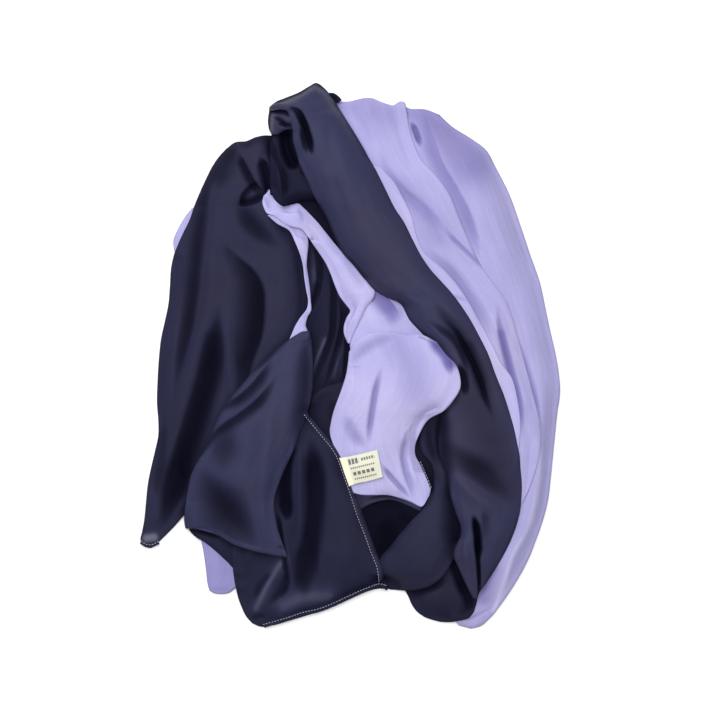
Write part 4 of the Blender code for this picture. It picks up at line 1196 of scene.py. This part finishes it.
def lay(stretch, grid):
    """Raises a grid clear of the heap, lets its folded sides settle on it and rounds them."""
    under = HEAP.under(grid[..., :2], LAY_REACH)
    floor = np.where(under > 0, under + stretch.gap, TABLE_GAP) + SHELL
    short = np.maximum(floor - grid[..., 2], 0.0)
    lift = short
    for _ in range(DRAPE_ROUNDS):
        lift = np.maximum(short, blurred(lift, 1) * DRAPE_FADE)
    grid[..., 2] += lift
    sides = {"left": grid[:, 0], "right": grid[:, -1], "start": grid[0], "end": grid[-1]}
    floor = np.maximum(floor, blurred(floor, FLOOR_ROUNDS)) + 2 * stretch.roll
    for side in stretch.folded:
        line = sides[side][::2, :2]
        line = np.concatenate((line, sides[side][-1:, :2]))
        apart = near_route(grid[..., :2], line)[0]
        excess = np.maximum(grid[..., 2] - floor, 0.0)
        grid[..., 2] -= excess * np.exp(-((apart / stretch.settle) ** SETTLE_POWER))
        inner = np.clip(1 - apart / (stretch.roll * ROLL_REACH), 0.0, 1.0)
        grid[..., 2] -= stretch.roll * (1 - np.sqrt(1 - inner**2))
    grid[..., 2] = np.maximum(grid[..., 2], RIM_FLOOR)
    return grid


def boundary_order(rows, columns):
    """The grid's boundary points in order, and the side that each lies on."""
    index = np.arange(rows * columns).reshape(rows, columns)
    order = [index[:-1, 0], index[-1, :-1], index[:0:-1, -1], index[0, :0:-1]]
    names = ["left", "end", "right", "start"]
    sides = [name for part, name in zip(order, names) for _ in part]
    return np.concatenate(order), sides


def rim_rings(stretch, grid):
    """Rings that carry a stretch's folded sides round and under, from its boundary inwards."""
    order, sides = boundary_order(*grid.shape[:2])
    loop = grid.reshape(-1, 3)[order]
    ahead = np.roll(loop, -2, axis=0) - np.roll(loop, 2, axis=0)
    inward = np.column_stack((ahead[:, 1], -ahead[:, 0]))
    inward /= np.maximum(np.linalg.norm(inward, axis=1, keepdims=True), TINY)
    roll = np.array([stretch.roll if side in stretch.folded else THIN_EDGE for side in sides])
    for _ in range(RIM_ROUNDS):
        roll = (np.roll(roll, 1) + 2 * roll + np.roll(roll, -1)) / 4
    rings = []
    for turn in RIM_TURNS:
        ring = loop.copy()
        ring[:, :2] += inward * (roll * (1 - math.cos(turn)))[:, None]
        ring[:, 2] = np.maximum(ring[:, 2] - roll * math.sin(turn), RIM_FLOOR)
        rings.append(ring)
    tucked = rings[-1].copy()
    tucked[:, :2] += inward * (roll * TUCK)[:, None]
    rings.append(tucked)
    return order, rings


def to_frame(points):
    """Layout millimetres as metres in the frame."""
    points = np.asarray(points, float)
    plan = DATUM + points[:, :2] * (MM, -MM)
    return np.column_stack((plan, points[:, 2] * MM))


def surface_lengths(grid):
    """How far across and along the cloth each point is, in metres, for its weave."""
    across = np.linalg.norm(np.diff(grid, axis=1), axis=-1).cumsum(axis=1)
    across = np.pad(across, ((0, 0), (1, 0)))
    across -= across[:, -1:] / 2
    along = np.linalg.norm(np.diff(grid, axis=0), axis=-1).cumsum(axis=0)
    along = np.pad(along, ((1, 0), (0, 0))).mean(axis=1, keepdims=True)
    along = np.broadcast_to(along, across.shape)
    return np.stack((across, along), axis=-1).reshape(-1, 2) * MM


def grid_faces(rows, columns):
    """The faces of a grid of points."""
    corner = (np.arange(rows - 1)[:, None] * columns + np.arange(columns - 1)).reshape(-1)
    return np.stack((corner, corner + columns, corner + columns + 1, corner + 1), axis=1)


def mark_points(mesh, name, values):
    """Keeps a value for each of a mesh's points, for its material to read."""
    marked = mesh.attributes.get(name) or mesh.attributes.new(name, "FLOAT", "POINT")
    marked.data.foreach_set("value", values.astype(np.float32))


def make_mesh(name, points, faces, weave, depth, tint):
    """A mesh with the cloth's own coordinates, and as attributes its depth, for painted shade, and
    its tint, for thin patches and painted shade.
    """
    mesh = bpy.data.meshes.new(name)
    mesh.from_pydata(to_frame(points).tolist(), [], faces.tolist())
    layer = mesh.uv_layers.new(name="Weave")
    corners = np.empty(len(mesh.loops), np.int32)
    mesh.loops.foreach_get("vertex_index", corners)
    layer.data.foreach_set("uv", weave[corners].astype(np.float32).ravel())
    mark_points(mesh, "hollow", depth)
    mark_points(mesh, "tint", tint)
    mesh.shade_smooth()
    return mesh


def add_cloth(context, name, mesh, face, softening=0):
    """An object with a wall of cloth on a mesh, riding on the root."""
    obj = bpy.data.objects.new(name, mesh)
    context.scene.collection.objects.link(obj)
    if softening:
        soften = obj.modifiers.new("Soften", "SUBSURF")
        soften.levels = softening
        soften.render_levels = softening
    wall = obj.modifiers.new("Wall", "SOLIDIFY")
    wall.thickness = context.scene.scarf_cloth.wall
    wall.offset = -1.0
    mesh.materials.append(cloth_material(context, face))
    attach(obj, "root")
    return obj


def make_stretch(context, stretch):
    """Lays a stretch on the heap and finishes it as a thin shell."""
    grid, depth = shaped_grid(stretch)
    grid = lay(stretch, grid)
    HEAP.add(grid)
    rows, columns = grid.shape[:2]
    order, rings = rim_rings(stretch, grid)
    faces = [grid_faces(rows, columns)]
    inner = order
    for step in range(len(rings)):
        outer = rows * columns + step * len(order) + np.arange(len(order))
        faces.append(np.stack((inner, outer, np.roll(outer, -1), np.roll(inner, -1)), axis=1))
        inner = outer

    def with_rings(values):
        return np.concatenate([values] + [values[order]] * len(rings))

    points = np.concatenate([grid.reshape(-1, 3), *rings])
    weave = with_rings(surface_lengths(grid))
    # The stretch's own painted shade goes into its tint, below nought.
    tint = with_rings(tint_amount(stretch.tints, grid[..., :2]).reshape(-1) - stretch.shade)
    depth = with_rings(depth.reshape(-1))
    name = stretch.name + "_cloth"
    mesh = make_mesh(name, points, np.concatenate(faces), weave, depth, tint)
    obj = add_cloth(context, name, mesh, stretch.face)
    return obj


def declare(stretch):
    """Hides the construction node that a stretch stands for."""
    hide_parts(stretch.name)


def spread_out(values, reach):
    """A raster averaged with what lies around each cell, by a bell of the given reach."""
    steps = np.fft.fftfreq(len(values))
    bell = np.exp(-2 * (math.pi * reach * steps) ** 2)
    return np.fft.ifft2(np.fft.fft2(values) * np.outer(bell, bell)).real


def mark_troughs(objects):
    """Marks each point of the cloth with how far it lies below what is around and over it, for the
    shade that is painted into its troughs and under other cloth.
    """
    depth = np.zeros_like(HEAP.tops)
    for reach, share in TROUGH_REACHES:
        depth += share * np.maximum(spread_out(HEAP.tops, reach) - HEAP.tops, 0.0)
    around = Heap(spread_out(depth, TROUGH_BLUR))
    cover = Heap(spread_out(HEAP.tops, COVER_BLUR))
    for obj in objects:
        mesh = obj.data
        place = np.empty(len(mesh.vertices) * 3, np.float32)
        mesh.vertices.foreach_get("co", place)
        place = place.reshape(-1, 3)
        plan = (place[:, :2] - DATUM) / (MM, -MM)
        # Painted shade under other cloth: how far the cloth around rises over this point.
        covered = np.maximum(cover.under(plan, 0) - place[:, 2] / MM - COVER_MARGIN, 0.0)
        pale = mesh.materials[0].name == FINISHES[LILAC]
        hollow = around.under(plan, 0) * (PALE_TROUGH if pale else 1.0) + covered
        own = mesh.attributes.get("hollow")
        if own is not None:
            own_depth = np.empty(len(plan), np.float32)
            own.data.foreach_get("value", own_depth)
            hollow += own_depth
        mark_points(mesh, "hollow", hollow)


def make_hidden_layers(context):
    """The layers that never show: a shell on the core's form, open underneath."""
    core = frame["nodes"]["hidden_layers"]
    form = bmesh.new()
    form.from_mesh(core.data)
    bmesh.ops.remove_doubles(form, verts=form.verts, dist=TOUCHING)
    under = [face for face in form.faces if all(vert.co.z < TOUCHING for vert in face.verts)]
    bmesh.ops.delete(form, geom=under, context="FACES")
    bmesh.ops.recalc_face_normals(form, faces=form.faces)
    if sum(face.normal.z * face.calc_area() for face in form.faces) < 0:
        bmesh.ops.reverse_faces(form, faces=form.faces)
    raise_heap(form)
    layer = form.loops.layers.uv.new("Weave")
    for face in form.faces:
        face.smooth = True
        for loop in face.loops:
            loop[layer].uv = loop.vert.co.xy
    mesh = bpy.data.meshes.new("hidden_layers_cloth")
    form.to_mesh(mesh)
    form.free()
    obj = add_cloth(context, "hidden_layers_cloth", mesh, NAVY, softening=2)
    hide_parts("hidden_layers")
    return obj


def raise_heap(form):
    """Raises the heap's raster to the top of a finished form."""
    tree = BVHTree.FromBMesh(form)
    for row, column in np.ndindex(HEAP.tops.shape):
        x, y = DATUM + np.array((column, -row)) * MM
        if not (CAD_LOW.x < x < CAD_HIGH.x and CAD_LOW.y < y < CAD_HIGH.y):
            continue
        hit = tree.ray_cast(Vector((x, y, 1.0)), Vector((0, 0, -1)))[0]
        if hit is not None:
            HEAP.tops[row, column] = max(HEAP.tops[row, column], hit.z / MM)


class Hem(NamedTuple):
    """A turned hem and the row of stitches that holds it."""

    name: str
    panel: str  # the stretch it finishes
    face: str
    stitches: tuple  # the route of the stitches, mm right of and below the datum corner
    turned: tuple  # mm from the stitches to the hem's two sides, across the route


HEMS = (
    Hem("side_hem", "corner_panel", NAVY, (
        (305, 415), (313, 425), (322, 436), (331, 447), (337, 457), (343, 473), (349, 490),
        (353, 502), (358, 517), (365, 535), (371, 552), (377, 567), (379, 581),
    ), (-0.6, 3.5)),
    Hem("bottom_hem", "corner_panel", NAVY, (
        (264, 624), (275, 621), (290, 616.5), (303, 612), (317, 609), (333, 603), (350, 595),
        (370, 586.5), (381, 583.2), (386, 585),
    ), (-3.4, 0.6)),
    Hem("wing_tip_hem", "left_wing", NAVY, (
        (142, 541.2), (145, 543.6), (150, 544.6), (154, 543.8), (158, 541.5),
    ), (-2.6, 0.5)),
    Hem("inner_hem", "lilac_billow", NAVY, (
        (420.5, 462), (423, 468), (426, 475), (430.5, 486),
    ), (-1.0, 0.6)),
)


HEMMED = {hem.panel for hem in HEMS}


def hem_stretch(hem):
    """A hem as a narrow folded stretch that follows its stitches."""
    route = smooth_route(hem.stitches)
    ahead = np.gradient(route, axis=0)
    across = np.column_stack((ahead[:, 1], -ahead[:, 0]))
    across /= np.linalg.norm(across, axis=1, keepdims=True)
    low, high = hem.turned
    rows = [
        Row((tuple(place + side * low), tuple(place + side * high)), HEM_HEIGHTS)
        for place, side in zip(route, across)
    ]
    sizes = {"fullness": 2.0, "roll": 0.35, "cell": 0.7, "shade": 0.3, "gap": 0.05}
    return Stretch(hem.name, hem.face, tuple(rows), folded=ALL_ROUND, **sizes)


def stitch_nodes():
    """A node tree that sets a stitch at even steps along a line."""
    group = bpy.data.node_groups.new("Row of stitches", "GeometryNodeTree")
    sockets = (
        ("Geometry", "INPUT", "NodeSocketGeometry"),
        ("Pitch", "INPUT", "NodeSocketFloat"),
        ("Stitch length", "INPUT", "NodeSocketFloat"),
        ("Thread radius", "INPUT", "NodeSocketFloat"),
        ("Thread", "INPUT", "NodeSocketMaterial"),
        ("Geometry", "OUTPUT", "NodeSocketGeometry"),
    )
    for name, way, kind in sockets:
        group.interface.new_socket(name, in_out=way, socket_type=kind)
    tree = Tree(group)
    given = tree.node("NodeGroupInput").outputs
    line = tree.node("GeometryNodeMeshToCurve", None, {0: given["Geometry"]})
    steps = {"Curve": line.outputs[0], "Length": given["Pitch"]}
    spaced = tree.node("GeometryNodeResampleCurve", {"mode": "LENGTH"}, steps)
    bead = tree.node("GeometryNodeMeshUVSphere", None, BEAD)
    uneven = tree.number("FunctionNodeRandomValue", {"data_type": "FLOAT"}, STITCH_SPREAD, output=1)
    half = Number(tree, given["Stitch length"]) * 0.5 * uneven
    radius = given["Thread radius"]
    reach = tree.node("ShaderNodeCombineXYZ", None, {"X": half, "Y": radius, "Z": radius})
    ahead = {"Vector": tree.node("GeometryNodeInputTangent").outputs[0]}
    turned = tree.node("FunctionNodeAlignRotationToVector", {"axis": "X"}, ahead)
    places = {
        "Points": spaced.outputs[0],
        "Instance": bead.outputs["Mesh"],
        "Rotation": turned.outputs[0],
        "Scale": reach.outputs[0],
    }
    placed = tree.node("GeometryNodeInstanceOnPoints", None, places)
    real = tree.node("GeometryNodeRealizeInstances", None, {0: placed.outputs[0]})
    finish = {"Geometry": real.outputs[0], "Material": given["Thread"]}
    sewn = tree.node("GeometryNodeSetMaterial", None, finish)
    tree.node("NodeGroupOutput", None, {"Geometry": sewn.outputs[0]})
    return group


def make_stitches(context, hem, tree, thread):
    """The row of stitches along a hem, as a plain mesh."""
    cloth = context.scene.scarf_cloth
    route = smooth_route(hem.stitches)
    height = HEAP.under(route, 1) + cloth.thread_radius / MM * STITCH_SINK
    line = bpy.data.meshes.new(hem.name + "_line")
    edges = [(step, step + 1) for step in range(len(route) - 1)]
    line.from_pydata(to_frame(np.column_stack((route, height))).tolist(), edges, [])
    guide = bpy.data.objects.new(hem.name + "_line", line)
    context.scene.collection.objects.link(guide)
    rows = guide.modifiers.new("Stitches", "NODES")
    rows.node_group = tree
    values = {
        "Pitch": cloth.stitch_pitch,
        "Stitch length": cloth.stitch_length,
        "Thread radius": cloth.thread_radius,
        "Thread": thread,
    }
    for item in tree.interface.items_tree:
        if item.in_out == "INPUT" and item.name in values:
            rows[item.identifier] = values[item.name]
    graph = context.evaluated_depsgraph_get()
    mesh = bpy.data.meshes.new_from_object(guide.evaluated_get(graph))
    mesh.name = hem.name + "_stitches"
    mesh.shade_smooth()
    bpy.data.objects.remove(guide)
    obj = bpy.data.objects.new(hem.name + "_stitches", mesh)
    context.scene.collection.objects.link(obj)
    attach(obj, "root")
    return obj


def size(name, description, default, **limits):
    """A property in metres."""
    settings = {"subtype": "DISTANCE", "unit": "LENGTH", "precision": 5, "min": 0.0, **limits}
    return FloatProperty(name=name, description=description, default=default, **settings)


def tone(name, description, default):
    """A property that holds a colour."""
    settings = {"subtype": "COLOR", "size": 3, "min": 0.0, "max": 1.0}
    return FloatVectorProperty(name=name, description=description, default=default, **settings)


def amount(name, description, default, most=1.0):
    """A property that holds a plain amount."""
    settings = {"subtype": "FACTOR", "min": 0.0, "max": most}
    return FloatProperty(name=name, description=description, default=default, **settings)


def power(name, description, default):
    """A property that holds a light's power."""
    return FloatProperty(name=name, description=description, default=default, min=0.0, unit="POWER")


class ScarfCloth(bpy.types.PropertyGroup):
    """The cloth's own sizes."""

    wall: size("Wall", "Thickness of the twill", 0.0006)
    twill_pitch: size("Twill pitch", "From one rib of the twill to the next", 0.0007)
    stitch_pitch: size("Stitch pitch", "From one hem stitch to the next", 0.0029)
    stitch_length: size("Stitch length", "Length of thread that shows at each stitch", 0.0021)
    thread_radius: size("Thread radius", "Radius of the hem's sewing thread", 0.00026)


class ScarfColours(bpy.types.PropertyGroup):
    """The colours, painted shade and sheen of the cloth, label and thread."""

    navy_lit: tone("Navy", "The face where the light falls full on it", (0.027, 0.028, 0.070))
    navy_warm: tone("Warm navy", "The face where its dye reads browner", (0.032, 0.027, 0.058))
    # Painted shade: the matt colour mixed in at the bottom of folds and under other cloth.
    navy_deep: tone("Deep navy", "The face at the bottom of a fold", (0.002, 0.002, 0.006))
    navy_thin: tone("Thin navy", "The face where one layer lies on the table", (0.20, 0.20, 0.25))
    navy_satin: amount("Navy satin", "Strength of the face's satin shine", 0.07)
    navy_sheen: amount("Navy sheen", "Strength of the face's soft edge light", 0.06)
    lilac_lit: tone("Lilac", "The reverse where the light falls full on it", (0.40, 0.38, 0.65))
    lilac_warm: tone("Warm lilac", "The reverse where its dye reads greyer", (0.44, 0.41, 0.62))
    # Painted shade: the matt colour mixed in at the bottom of folds and under other cloth.
    lilac_deep: tone("Deep lilac", "The reverse at the bottom of a fold", (0.085, 0.07, 0.26))
    lilac_thin: tone("Thin lilac", "The reverse where a single layer shows", (0.70, 0.67, 0.86))
    lilac_satin: amount("Lilac satin", "Strength of the reverse's satin shine", 0.1)
    lilac_sheen: amount("Lilac sheen", "Strength of the reverse's soft edge light", 0.08)
    # How fast the painted shade darkens each face with the depth of its troughs.
    navy_trough: amount("Navy trough", "How fast the face darkens with the depth", 0.55, 4.0)
    lilac_trough: amount("Lilac trough", "How fast the reverse darkens with the depth", 0.2, 4.0)
    label: tone("Label", "The woven label", SLOT_COLOURS[LABEL_TAPE])
    label_end: tone("Label end", "The label's folded end", (0.88, 0.84, 0.62))
    label_marks: tone("Label marks", "The label's woven dashes", (0.05, 0.05, 0.06))
    thread: tone("Thread", "The hem's sewing thread", (0.60, 0.62, 0.70))


class ScarfStage(bpy.types.PropertyGroup):
    """The table, the camera and the lights."""

    field: size("Field", "Width of table in the camera's view", 0.72)
    centre_right: size("Centre right", "The view's middle, along X", 0.0095, min=-1.0)
    centre_up: size("Centre up", "The view's middle, along Y", -0.00405, min=-1.0)
    lens: FloatProperty(
        name="Lens", description="Focal length of the camera", default=200.0, min=50.0,
        subtype="DISTANCE_CAMERA", unit="CAMERA",
    )
    table: tone("Table", "Colour of the table", (0.92, 0.92, 0.92))
    window: power("Window", "Power of the large soft light beyond the heap", 30.0)
    overhead: power("Overhead", "Power of the soft light above the heap", 42.0)
    room: amount("Room", "Strength of the light from all round", 0.3, 4.0)


class LayHiddenLayers(bpy.types.Operator):
    """Lay the hidden layers that the rest of the heap rests on"""

    bl_idname = "scarf.lay_hidden_layers"
    bl_label = "Hidden layers"

    def execute(self, context):
        make_hidden_layers(context)
        return {"FINISHED"}


def lay_group(context, group):
    """Lays a group of stretches, each on the one before it and on what is below them all."""
    for stretch in group:
        make_stretch(context, stretch)
        if stretch.name not in HEMMED:
            declare(stretch)
    return {"FINISHED"}


class LayDrapes(bpy.types.Operator):
    """Lay the lilac drapes down the right side and the lilac that peeps out on the left"""

    bl_idname = "scarf.lay_drapes"
    bl_label = "Lilac drapes"

    def execute(self, context):
        return lay_group(context, DRAPES)


class LayLeftSide(bpy.types.Operator):
    """Lay the navy wing down the left side, with the pleats beside it"""

    bl_idname = "scarf.lay_left_side"
    bl_label = "Left wing"

    def execute(self, context):
        return lay_group(context, LEFT_SIDE)


class LayLilacMiddle(bpy.types.Operator):
    """Lay the lilac strip that runs from the neck to the middle of the heap"""

    bl_idname = "scarf.lay_lilac_middle"
    bl_label = "Lilac strip"

    def execute(self, context):
        return lay_group(context, LILAC_MIDDLE)


class LayLowerMiddle(bpy.types.Operator):
    """Lay the small navy folds low in the middle of the heap"""

    bl_idname = "scarf.lay_lower_middle"
    bl_label = "Lower folds"

    def execute(self, context):
        return lay_group(context, LOWER_MIDDLE)


class LayLobes(bpy.types.Operator):
    """Lay the two navy lobes at the foot of the heap"""

    bl_idname = "scarf.lay_lobes"
    bl_label = "Lobes"

    def execute(self, context):
        return lay_group(context, LOBES)


class LayFront(bpy.types.Operator):
    """Lay the neck, the hemmed corner and the flap that folds over it"""

    bl_idname = "scarf.lay_front"
    bl_label = "Neck, corner and flap"

    def execute(self, context):
        return lay_group(context, FRONT)


class LayBand(bpy.types.Operator):
    """Lay the broad navy band and the curl of its knot"""

    bl_idname = "scarf.lay_band"
    bl_label = "Main band"

    def execute(self, context):
        return lay_group(context, BAND)


class LayBillow(bpy.types.Operator):
    """Lay the lilac billow in the middle of the heap"""

    bl_idname = "scarf.lay_billow"
    bl_label = "Lilac billow"

    def execute(self, context):
        return lay_group(context, BILLOW)


class SewHems(bpy.types.Operator):
    """Turn the hems that show and sew them with a row of stitches"""

    bl_idname = "scarf.sew_hems"
    bl_label = "Hems and stitches"

    def execute(self, context):
        tree = stitch_nodes()
        thread = thread_material(context)
        sewn = {}
        for hem in HEMS:
            turned = make_stretch(context, hem_stretch(hem))
            stitches = make_stitches(context, hem, tree, thread)
            sewn.setdefault(hem.panel, []).extend((turned, stitches))
        bpy.data.node_groups.remove(tree)
        for stretch in LEFT_SIDE + FRONT + BILLOW:
            if stretch.name in sewn:
                declare(stretch)
        return {"FINISHED"}


class SewLabel(bpy.types.Operator):
    """Lay the woven label that is sewn into the side hem"""

    bl_idname = "scarf.sew_label"
    bl_label = "Woven label"

    def execute(self, context):
        return lay_group(context, (LABEL,))


class ShadeFolds(bpy.types.Operator):
    """Mark how deep each point of the cloth lies, so that shade is painted into its troughs"""

    bl_idname = "scarf.shade_folds"
    bl_label = "Fold shade"

    def execute(self, context):
        mark_troughs([obj for obj in context.scene.objects if obj.name.endswith("_cloth")])
        return {"FINISHED"}


def add_light(context, name, place, aim, width, strength):
    """A square soft light that faces a point."""
    lamp = bpy.data.lights.new(name, "AREA")
    lamp.size = width
    lamp.energy = strength
    light = bpy.data.objects.new(name, lamp)
    context.scene.collection.objects.link(light)
    light.location = place
    light.rotation_euler = (Vector(aim) - Vector(place)).to_track_quat("-Z", "Y").to_euler()
    return light


class SetStage(bpy.types.Operator):
    """Set the table, the camera straight above the heap and the soft studio lights"""

    bl_idname = "scarf.set_stage"
    bl_label = "Table, camera and lights"

    def execute(self, context):
        scene = context.scene
        stage = scene.scarf_stage
        mesh = bpy.data.meshes.new("table")
        form = bmesh.new()
        bmesh.ops.create_grid(form, x_segments=2, y_segments=2, size=TABLE_HALF)
        form.to_mesh(mesh)
        form.free()
        mesh.materials.append(floor_material(stage.table))
        table = bpy.data.objects.new("table", mesh)
        scene.collection.objects.link(table)
        middle = Vector((stage.centre_right, stage.centre_up, 0.0))
        lens = bpy.data.cameras.new("camera")
        lens.lens = stage.lens
        lens.sensor_width = SENSOR
        camera = bpy.data.objects.new("camera", lens)
        scene.collection.objects.link(camera)
        camera.location = middle + Vector((0, 0, stage.field * stage.lens / SENSOR))
        scene.camera = camera
        add_light(context, "window", WINDOW_PLACE, middle, WINDOW_WIDTH, stage.window)
        add_light(context, "overhead", OVERHEAD_PLACE, middle, OVERHEAD_WIDTH, stage.overhead)
        world = bpy.data.worlds.new("room")
        world.use_nodes = True
        sky = world.node_tree.nodes["Background"].inputs
        sky["Color"].default_value = opaque((1.0, 1.0, 1.0))
        sky["Strength"].default_value = stage.room
        scene.world = world
        scene.view_settings.view_transform = "Standard"
        return {"FINISHED"}


OPERATORS = (
    LayHiddenLayers,
    LayDrapes,
    LayLeftSide,
    LayLilacMiddle,
    LayLowerMiddle,
    LayLobes,
    LayFront,
    LayBand,
    LayBillow,
    SewHems,
    SewLabel,
    ShadeFolds,
    SetStage,
)


class ScarfPanel(bpy.types.Panel):
    """The steps that lay the scarf, in order, and its sizes and colours"""

    bl_idname = "VIEW3D_PT_heaped_scarf"
    bl_label = "Heaped Scarf"
    bl_space_type = "VIEW_3D"
    bl_region_type = "UI"
    bl_category = "Scarf"

    def draw(self, context):
        for operator in OPERATORS:
            self.layout.operator(operator.bl_idname)
        for kept in GROUPS:
            group = getattr(context.scene, kept)
            box = self.layout.box()
            for name in group.bl_rna.properties.keys():
                if name not in ("rna_type", "name"):
                    box.prop(group, name)


GROUPS = {"scarf_cloth": ScarfCloth, "scarf_colours": ScarfColours, "scarf_stage": ScarfStage}
CLASSES = tuple(GROUPS.values()) + OPERATORS + (ScarfPanel,)


def register():
    for kind in CLASSES:
        bpy.utils.register_class(kind)
    for name, kind in GROUPS.items():
        setattr(bpy.types.Scene, name, PointerProperty(type=kind))


def unregister():
    for name in GROUPS:
        delattr(bpy.types.Scene, name)
    for kind in reversed(CLASSES):
        bpy.utils.unregister_class(kind)


def main():
    register()
    for operator in OPERATORS:
        step = operator.bl_idname.split(".")[1]
        getattr(bpy.ops.scarf, step)()


if __name__ == "__main__":
    main()
